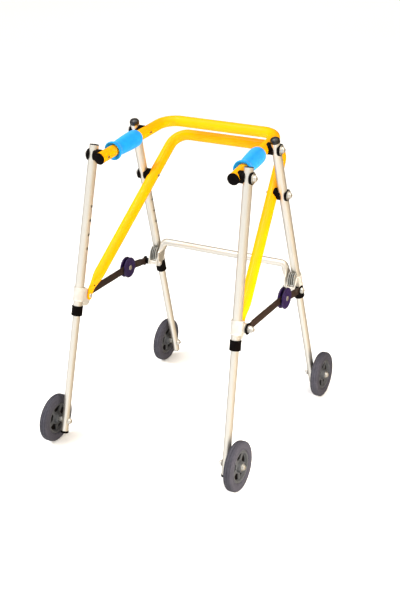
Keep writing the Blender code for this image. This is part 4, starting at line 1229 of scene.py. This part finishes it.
lug_outline = in_mm([(-28.6, -24), (-28.6, 25.6), (-14, 22)]) + arc(14 * MM, 80, -25, 11)
lug_outline += in_mm([(6, -20), (1, -25), (-6, -26.5)])
since = len(made_pieces)
for name, side in SIDES.items():
    leg, body, node = LEGS["front"], f"front_leg_{name}", f"front_bracket_{name}"
    lug = plate(leaning(lug_outline, "front"), LUG_X - HALF_LUG, LUG_OUTER, 0.8 * MM)
    boss_face = FRONT_STRIP - GAP
    boss = [(0, LUG_X), (13.5 * MM, LUG_X), (12.5 * MM, boss_face), (0, boss_face)]
    boss = about_x(turned(eased(boss, 0.6 * MM)))
    to_leg = leg.inverted() @ Matrix.Translation((0, LUG.y, LUG.z))
    joined = [moved(solid, to_leg) for solid in (lug, boss)]
    bracket = carved(rimmed_sleeve(319, 354), joined, "UNION")
    bore = about_x(rod(STUD_SEAT, LUG_X - 20 * MM, LUG_X + 20 * MM))
    bracket = carved(bracket, [moved(bore, to_leg), sleeve_bore()])
    piece(f"lug_bracket_{name}", bracket, leg, side, body, casting, node, 35)
    at_lug = Matrix.Translation((0, LUG.y, LUG.z))
    head = TONGUE_X - 2.6 * MM
    stud = button_bolt(head, FRONT_STRIP + 10 * MM, STUD, across=5.8 * MM, height=3 * MM)
    piece(f"lug_stud_{name}", stud, at_lug, side, body, nickel, node)
    spacer = washer(FRONT_STRIP + 3.1 * MM, FRONT_STRIP + 5.1 * MM, 14.5 * MM, STUD_WASHER)
    piece(f"lug_washer_{name}", spacer, at_lug, side, body, nylon, node)
    seat = washer(FRONT_STRIP + 5.2 * MM, FRONT_STRIP + 7.8 * MM, 8.8 * MM, STUD_WASHER)
    piece(f"lug_seat_{name}", seat, at_lug, side, body, nickel, node)
    nut = dome_nut(FRONT_STRIP + 7.9 * MM, size=8.5 * MM, height=13 * MM, bore=STUD_NUT)
    piece(f"lug_nut_{name}", nut, at_lug, side, body, nickel, node)
report("front brackets", since)

# %% [markdown]
# ## Rear brackets
# The rear bracket is a sleeve with two ears in front, and a bolt with a spacer tube runs across from
# ear to ear. Above the bolt a rounded gusset braces the ears. It is cored with deep grooves, as
# castings are to save metal, and the fins left between them show as grey stripes from in front. The
# sleeve and ears are one piece here, and the gusset another, in a darker grey that paints groove shade.

# %% Rear brackets
since = len(made_pieces)
leg_face = 24 * MM
ear_outline = arc(8.5 * MM, -100, -215, 10)
ear_outline += [(12 * MM, 25 * MM), (leg_face, 27 * MM), (leg_face, -8.5 * MM)]
curve = [
    (leg_face - 25 * MM * math.cos(turn), (9 + 29 * math.sin(turn)) * MM)
    for turn in [math.radians(degrees) for degrees in range(0, 91, 10)]
]
gusset_outline = curve + [(leg_face + 4 * MM, 38 * MM), (leg_face + 4 * MM, 9 * MM)]
for name, side in SIDES.items():
    leg, node = LEGS["rear"], f"rear_bracket_{name}"
    to_leg = leg.inverted() @ Matrix.Translation((0, BLOCK.y, BLOCK.z))
    outline = leaning(ear_outline, "rear")
    ears = [plate(outline, low, low + 4 * MM, 0.8 * MM) for low in (BLOCK_INNER, BLOCK_OUTER - 4 * MM)]
    tube = about_x(rod(6 * MM, BLOCK_INNER + 2 * MM, BLOCK_OUTER - 2 * MM, 32))
    joined = [moved(solid, to_leg) for solid in (*ears, tube)]
    bracket = carved(rimmed_sleeve(320, 354), joined, "UNION")
    bore = moved(about_x(rod(STUD_SEAT, BLOCK_INNER - 5 * MM, BLOCK_OUTER + 5 * MM)), to_leg)
    bracket = carved(bracket, [bore, sleeve_bore()])
    piece(f"block_bracket_{name}", bracket, leg, side, "rear_frame", casting, node, 35)
    inner, outer = BLOCK_INNER + 4.3 * MM, BLOCK_OUTER - 4.3 * MM
    gusset = plate(leaning(gusset_outline, "rear"), inner, outer, 0.6 * MM)
    rim = [(leg_face - 60 * MM, 5 * MM), (leg_face - 60 * MM, 60 * MM), (leg_face - 4 * MM, 60 * MM)]
    bed = [(leg_face - 4 * MM, 27 * MM), (leg_face - 10 * MM, 20 * MM), (leg_face - 12 * MM, 5 * MM)]
    grooves = []
    for index in range(3):
        centre = inner + (outer - inner) * (index + 0.85) / 3.7
        grooves.append(plate(leaning(rim + bed, "rear"), centre - 1.7 * MM, centre + 1.7 * MM, 0))
    tools = [moved(tool, to_leg) for tool in grooves] + [rod(14.9 * MM, 300 * MM, 400 * MM, 48)]
    gusset = carved(moved(gusset, to_leg), tools)
    # The gusset's darker finish paints the shade in its grooves.
    piece(f"block_gusset_{name}", gusset, leg, side, "rear_frame", groove_shade_casting, node, 35)
    at_block = Matrix.Translation((0, BLOCK.y, BLOCK.z))
    head = BLOCK_INNER - 5.6 * MM
    bolt = button_bolt(head, REAR_STRIP + 8 * MM, STUD, across=6.5 * MM, height=4 * MM)
    piece(f"block_bolt_{name}", bolt, at_block, side, "rear_frame", nickel, node)
    spacer = washer(BLOCK_OUTER + 0.05 * MM, REAR_STRIP - GAP, 8 * MM, STUD_WASHER)
    piece(f"block_spacer_{name}", spacer, at_block, side, "rear_frame", nylon, node)
    seat = washer(REAR_STRIP + 3.1 * MM, REAR_STRIP + 4.9 * MM, 13 * MM, STUD_WASHER)
    piece(f"block_washer_{name}", seat, at_block, side, "rear_frame", nylon, node)
    nut = dome_nut(REAR_STRIP + 5 * MM, size=8.5 * MM, height=9 * MM, bore=STUD_NUT)
    piece(f"block_nut_{name}", nut, at_block, side, "rear_frame", nickel, node)
report("rear brackets", since)

# %% [markdown]
# ## Folding stays
# Two flat steel links on each side hold the front and rear legs apart. Each has rounded, drilled
# ends and a black vinyl sleeve over its length. On the side where the sleeve is thin, it is 0.12 mm
# proud of the strip, so that the two never share a surface.


# %% Strips and sleeves
def link(name, side, start, end, strip_low, sleeve_low, sleeve_high, body, node):
    """A strip from start, its pivot on a leg, to its end at the elbow, and the sleeve round it."""
    reach = Vector((0, end.y - start.y, end.z - start.z))
    at_start = Matrix.Translation((0, start.y, start.z))
    place = at_start @ Matrix.Rotation(math.atan2(reach.z, reach.y), 4, "X")
    length = reach.length
    outline = arc(9 * MM, 90, 270, 14) + arc(9 * MM, -90, 90, 14, (length, 0))
    strip = plate(outline, strip_low, strip_low + 3 * MM, 0.4 * MM)
    holes = [about_x(rod(STUD_HOLE, strip_low - 10 * MM, strip_low + 10 * MM))]
    piece(f"strip_{name}", carved(strip, holes), place, side, body, vinyl, node)
    half, near, far = 9.75 * MM, 28 * MM, length - 31 * MM
    block = [(near, -half), (far, -half), (far, half), (near, half)]
    sleeve = plate(block, sleeve_low, sleeve_high, 0.9 * MM)
    piece(f"vinyl_sleeve_{name}", sleeve, place, side, body, vinyl, node)


since = len(made_pieces)
for name, side in SIDES.items():
    body = f"stay_front_{name}_link"
    link(f"front_{name}", side, LUG, ELBOW, FRONT_STRIP, FRONT_STRIP - 1.4 * MM,
         FRONT_STRIP + 3.12 * MM, body, f"stay_front_{name}")
    body = f"stay_rear_{name}_link"
    link(f"rear_{name}", side, BLOCK, ELBOW, REAR_STRIP, REAR_STRIP - 0.12 * MM,
         REAR_STRIP + 4.4 * MM, body, f"stay_rear_{name}")
report("stays", since)

# %% [markdown]
# ## Elbow knobs
# The two links meet between two purple discs. The inner one holds the pivot, and the outer one
# turns to lock the stay. Each is a thick disc with a full round rim and a shallow ring in its face,
# with a pale plated cap in the middle.

# %% Knobs
since = len(made_pieces)
inner_face = FRONT_STRIP + 0.2 * MM
outer_face = REAR_STRIP + 3.3 * MM


def knob_disc(back, way):
    """A disc from its flat back towards its face, which is outboard where way is 1."""
    outline = [
        (0, 0), (26.4, 0), (28, 1.7), (28, 3.8), (26.2, 5.5), (21.5, 5.5), (20.6, 5.0), (8.6, 5.0),
        (8.0, 5.5), (0, 5.5),
    ]
    return about_x(turned(eased(in_mm(outline, back, way), 1.2 * MM), 64))


def knob_cap(back, way):
    outline = [(0, 5.4), (6.5, 5.4), (6.5, 6.2), (5.6, 6.9), (0, 7.0)]
    return about_x(turned(eased(in_mm(outline, back, way), 0.5 * MM), 32))


for name, side in SIDES.items():
    body, node = f"stay_front_{name}_link", f"stay_front_{name}"
    at_elbow = Matrix.Translation(ELBOW)
    piece(f"elbow_disc_{name}", knob_disc(inner_face, -1), at_elbow, side, body, purple, node)
    piece(f"elbow_cap_{name}", knob_cap(inner_face, -1), at_elbow, side, body, nickel, node)
    body, node = f"knob_{name}_body", f"knob_{name}"
    piece(f"turning_disc_{name}", knob_disc(outer_face, 1), at_elbow, side, body, purple, node)
    piece(f"turning_cap_{name}", knob_cap(outer_face, 1), at_elbow, side, body, nickel, node)
report("knobs", since)

# %% [markdown]
# ## Wheels
# Each wheel is a 125 mm grey tyre on a moulded hub. The tread has three grooves round it and the
# sidewall a raised ring at the bead. The hub is dished, with five windows; a black disc behind them
# paints their shade.
# Tyre and hub are turned, and the windows are cut as short curved slots.

# %% Tyres and hubs
half_tread = [
    (62.5, 0.9), (62.5, 5.0), (62.2, 5.6), (61.0, 5.9), (61.0, 6.7), (61.9, 7.1), (61.2, 8.4),
    (59.6, 10.0), (57.4, 10.9),
]
half_wall = [
    (55, 10.7), (49.5, 10.4), (47.8, 10.6), (47.0, 11.0), (44.6, 11.0), (43.2, 10.4), (40.9, 8.5),
]
tyre_outline = both_halves([(61.2, 0.55)] + half_tread + half_wall)
half_hub = [
    (40.4, 8.5), (36.8, 8.5), (35.4, 7.6), (34.6, 3.6), (16.6, 3.4), (15.0, 4.6), (13.4, 12.3),
    (12.6, 12.5), (4.4, 12.5),
]
hub_outline = both_halves(half_hub)


def window(index):
    """A cutter for one of the hub's five curved windows."""
    middle = 90 + 72 * index
    outline = arc(33 * MM, middle - 26, middle + 26, 12) + arc(17.6 * MM, middle + 19, middle - 19, 8)
    return plate(outline, -20 * MM, 20 * MM, 0)


since = len(made_pieces)
for name, side in SIDES.items():
    for end, place in WHEELS.items():
        tag = f"{end}_{name}"
        body = f"wheel_{tag}"
        tyre = about_x(turned(eased(in_mm(tyre_outline), 0.8 * MM, closed=True), 96, closed=True))
        piece(f"rubber_tyre_{tag}", tyre, place, side, body, rubber, f"tyre_{tag}", 45)
        hub = about_x(turned(eased(in_mm(hub_outline), 0.8 * MM, closed=True), 72, closed=True))
        hub = carved(hub, [window(index) for index in range(5)])
        piece(f"wheel_hub_{tag}", hub, place, side, body, hub_plastic, f"hub_{tag}", 45)
        # A black disc inside the hub paints the shade seen through its five windows.
        core = [(15.2, -0.7), (34.4, -0.7), (34.4, 0.7), (15.2, 0.7)]
        core = about_x(turned(in_mm(core), closed=True))
        piece(f"window_shade_disc_{tag}", core, place, side, body, nylon, f"hub_{tag}")
report("wheels", since)

# %% [markdown]
# ## Axles
# An 8 mm bolt goes through the leg, a spacer and the hub, with a washer and a dome nut at both ends.
# The spacer keeps the tyre clear of the leg. The nuts are shaped like those on the pivots.

# %% Axles
turned_round = Matrix.Rotation(math.pi, 4, "Z")
since = len(made_pieces)
for name, side in SIDES.items():
    for end, leg in LEGS.items():
        tag = f"{end}_{name}"
        body, node = f"lower_leg_{tag}", f"axle_bolt_{tag}"
        shaft = about_x(rod(STUD, -14 * MM, 48 * MM, 32))
        piece(f"axle_shaft_{tag}", shaft, leg, side, body, nickel, node)
        spacer = washer(9.8 * MM, 17.8 * MM, 7 * MM, STUD_NUT)
        piece(f"axle_spacer_{tag}", spacer, leg, side, body, nickel, node)
        for word, seat, turn in (("outer", 43.2 * MM, Matrix()), ("inner", 9.7 * MM, turned_round)):
            ring = moved(washer(seat, seat + 1.2 * MM, 9 * MM, STUD_NUT), turn)
            piece(f"axle_washer_{word}_{tag}", ring, leg, side, body, nickel, node)
            nut = dome_nut(seat + 1.3 * MM, size=7.8 * MM, height=7 * MM, bore=STUD_NUT)
            nut = moved(nut, turn)
            piece(f"axle_nut_{word}_{tag}", nut, leg, side, body, nickel, node)
report("axles", since)

# %% [markdown]
# ## Floor
# Catalogue photographs of such walkers are taken on a sweep of white paper, lit until it is nearly
# pure white, so that only a soft shadow under each wheel shows the ground. The paper is slightly
# uneven: a 3 m wide drift in its tone, and a fine tooth that is far too small to see. The paper here
# is a shade darker than white and the lamps are brighter by as much. It burns out all the same, but
# it throws less light upward, so the undersides of the bars stay deeper than their tops.

# %% Floor
paper = start_finish("matt white paper")
at = add(paper, "ShaderNodeTexCoord")
drift = add(
    paper, "ShaderNodeTexNoise", {"Scale": per_feature(3000), "Detail": 1.0},
    {"Vector": (at, "Object")},
)
tone = add(
    paper,
    "ShaderNodeValToRGB",
    {"stops": [(0.3, srgb("#EAEAEA")), (0.7, srgb("#EDEDED"))]},
    {"Fac": (drift, "Fac")},
)
sheet_skin = add(
    paper,
    "ShaderNodeBsdfPrincipled",
    {"Metallic": 0.0, "IOR": 1.5, "Roughness": 0.9, "Specular IOR Level": 0.2},
    {"Base Color": (tone, "Color")},
)
add(paper, "ShaderNodeOutputMaterial", {}, {"Surface": (sheet_skin, "BSDF")})

shape = bmesh.new()
bmesh.ops.create_grid(shape, x_segments=8, y_segments=8, size=24)
mesh = bpy.data.meshes.new("floor")
shape.to_mesh(mesh)
shape.free()
mesh.materials.append(paper)
floor = bpy.data.objects.new("floor", mesh)
bpy.context.scene.collection.objects.link(floor)
# A hair below the ground, so that no tyre cuts into the sheet.
floor.location.z = -0.2 * MM
print("the floor is", round(floor.dimensions.x), "m wide")

# %% [markdown]
# ## Light
# The photograph is high-key: light comes from everywhere, and it is set so bright that white paper
# burns out. What gives the tubes their shape is what they mirror. A photographer stands a tan card
# to the right of such an object and dark cards far behind it, so that each bright tube gets a warm
# shaded side and a thin grey edge. Here the world itself is that studio: two dot products say how far
# to the right and how far behind a direction lies, and a ramp turns each into a tone. Upward
# it gets brighter, like a lit ceiling. The camera sees plain white instead, and the floor doesn't
# take part in mirror images.

# %% The studio as a world
scene = bpy.context.scene
scene.view_settings.view_transform = "Standard"
scene.view_settings.look = "None"
# The direction of the view; both cards stand square to it.
AZIMUTH = math.radians(27.12)
# The tones of each card, from the directions that it hardly reaches to its middle.
TAN_CARD = [(0.05, "#FFFFFF"), (0.4, "#F6EAD6"), (0.8, "#D6C1A3"), (1.0, "#CBB393")]
DARK_CARD = [(0.12, "#FFFFFF"), (0.5, "#888581"), (1.0, "#4A4744")]
# Brightness by height: 0 is straight down, 0.5 the horizon and 1 straight up.
CEILING = [(0.47, 0.29), (0.53, 0.19), (0.66, 0.2), (0.98, 0.66)]
BRIGHTNESS = 4.0
studio = bpy.data.worlds.new("white studio")
studio.use_nodes = True
studio.node_tree.nodes.clear()
way = add(studio, "ShaderNodeTexCoord")
to_right = add(
    studio,
    "ShaderNodeVectorMath",
    {"operation": "DOT_PRODUCT", 1: (math.cos(AZIMUTH), math.sin(AZIMUTH), 0)},
    {0: (way, "Generated")},
)
behind = add(
    studio,
    "ShaderNodeVectorMath",
    {"operation": "DOT_PRODUCT", 1: (-math.sin(AZIMUTH), math.cos(AZIMUTH), 0)},
    {0: (way, "Generated")},
)
tan_card = add(
    studio,
    "ShaderNodeValToRGB",
    {"stops": [(share, srgb(code)) for share, code in TAN_CARD]},
    {"Fac": (to_right, "Value")},
)
dark_card = add(
    studio,
    "ShaderNodeValToRGB",
    {"stops": [(share, srgb(code)) for share, code in DARK_CARD]},
    {"Fac": (behind, "Value")},
)
cards = add(
    studio,
    "ShaderNodeVectorMath",
    {"operation": "MULTIPLY"},
    {0: (tan_card, "Color"), 1: (dark_card, "Color")},
)
height = add(studio, "ShaderNodeSeparateXYZ", {}, {"Vector": (way, "Generated")})
raised = add(
    studio, "ShaderNodeMapRange", {"From Min": -1.0, "From Max": 1.0},
    {"Value": (height, "Z")},
)
ceiling = add(
    studio,
    "ShaderNodeValToRGB",
    {"stops": [(share, (grey, grey, grey, 1)) for share, grey in CEILING]},
    {"Fac": (raised, "Result")},
)
bright = add(
    studio, "ShaderNodeMath", {"operation": "MULTIPLY", 1: BRIGHTNESS}, {0: (ceiling, "Color")}
)
room = add(
    studio, "ShaderNodeBackground", {},
    {"Color": (cards, "Vector"), "Strength": (bright, "Value")},
)
backdrop = add(studio, "ShaderNodeBackground", {"Color": srgb("#FFFFFF"), "Strength": 1.0})
ray = add(studio, "ShaderNodeLightPath")
seen = add(
    studio,
    "ShaderNodeMixShader",
    {},
    {0: (ray, "Is Camera Ray"), 1: (room, "Background"), 2: (backdrop, "Background")},
)
add(studio, "ShaderNodeOutputWorld", {}, {"Surface": (seen, "Shader")})
scene.world = studio
floor.visible_glossy = False
print("the world has", len(studio.node_tree.nodes), "nodes")

# %% [markdown]
# ## Lamps
# One large soft lamp overhead puts long highlights on the bars. Two banks, left and right of the
# camera, model the grips and the paint from both sides. A weak lamp low on the right lifts the faces
# of the near wheels. These three aren't mirrored, so the bare tubes keep their shade.


# %% Lamps
def soft_lamp(name, place, aim, size, watts, colour):
    lamp = bpy.data.lights.new(name, "AREA")
    lamp.shape = "DISK"
    lamp.size = size
    lamp.energy = watts
    lamp.color = srgb(colour)[:3]
    made = bpy.data.objects.new(name, lamp)
    scene.collection.objects.link(made)
    made.location = place
    made.rotation_euler = (Vector(aim) - Vector(place)).to_track_quat("-Z", "Y").to_euler()
    return made


soft_lamp("overhead bank", (-0.7, -0.9, 3.2), (0, 0, 0.4), 1.0, 14, "#FFFAF2")
for lamp in (
    soft_lamp("left bank", (-2.3, -1.1, 1.8), (0, 0, 0.5), 1.0, 95, "#FFFFFF"),
    soft_lamp("right bank", (1.9, -1.9, 1.6), (0, 0, 0.5), 1.0, 45, "#FFFDF8"),
    soft_lamp("low right fill", (0.9, -0.3, 0.28), (0.3, -0.1, 0.05), 0.4, 13, "#FFF6EA"),
):
    lamp.visible_glossy = False
    lamp.visible_camera = False

# %% [markdown]
# ## Camera
# The camera was worked out from the photograph: where the wheels touch the floor and where each
# pivot shows fixes its place, its tilt and its lens. The picture is taller than wide, so the lens
# is fitted to the height.

# %% Camera
PITCH, ROLL = math.radians(22.2), math.radians(0.6)
EYE = Vector((1.2563, -2.4354, 1.4575))
FOCAL_LENGTH = 68.24
ahead = Vector((-math.sin(AZIMUTH), math.cos(AZIMUTH), 0))
forward = ahead * math.cos(PITCH) - Vector((0, 0, 1)) * math.sin(PITCH)
level = Vector((math.cos(AZIMUTH), math.sin(AZIMUTH), 0))
upward = level.cross(forward)
right = level * math.cos(ROLL) + upward * math.sin(ROLL)
lens = bpy.data.cameras.new("photograph")
lens.sensor_fit = "VERTICAL"
lens.sensor_height = 36
lens.lens = FOCAL_LENGTH
lens.clip_end = 200
camera = bpy.data.objects.new("photograph", lens)
scene.collection.objects.link(camera)
camera.matrix_world = frame_of(EYE, right, -forward)
scene.camera = camera
looking = [round(x, 2) for x in forward]
print("camera at", [round(x, 3) for x in camera.location], "looking along", looking)
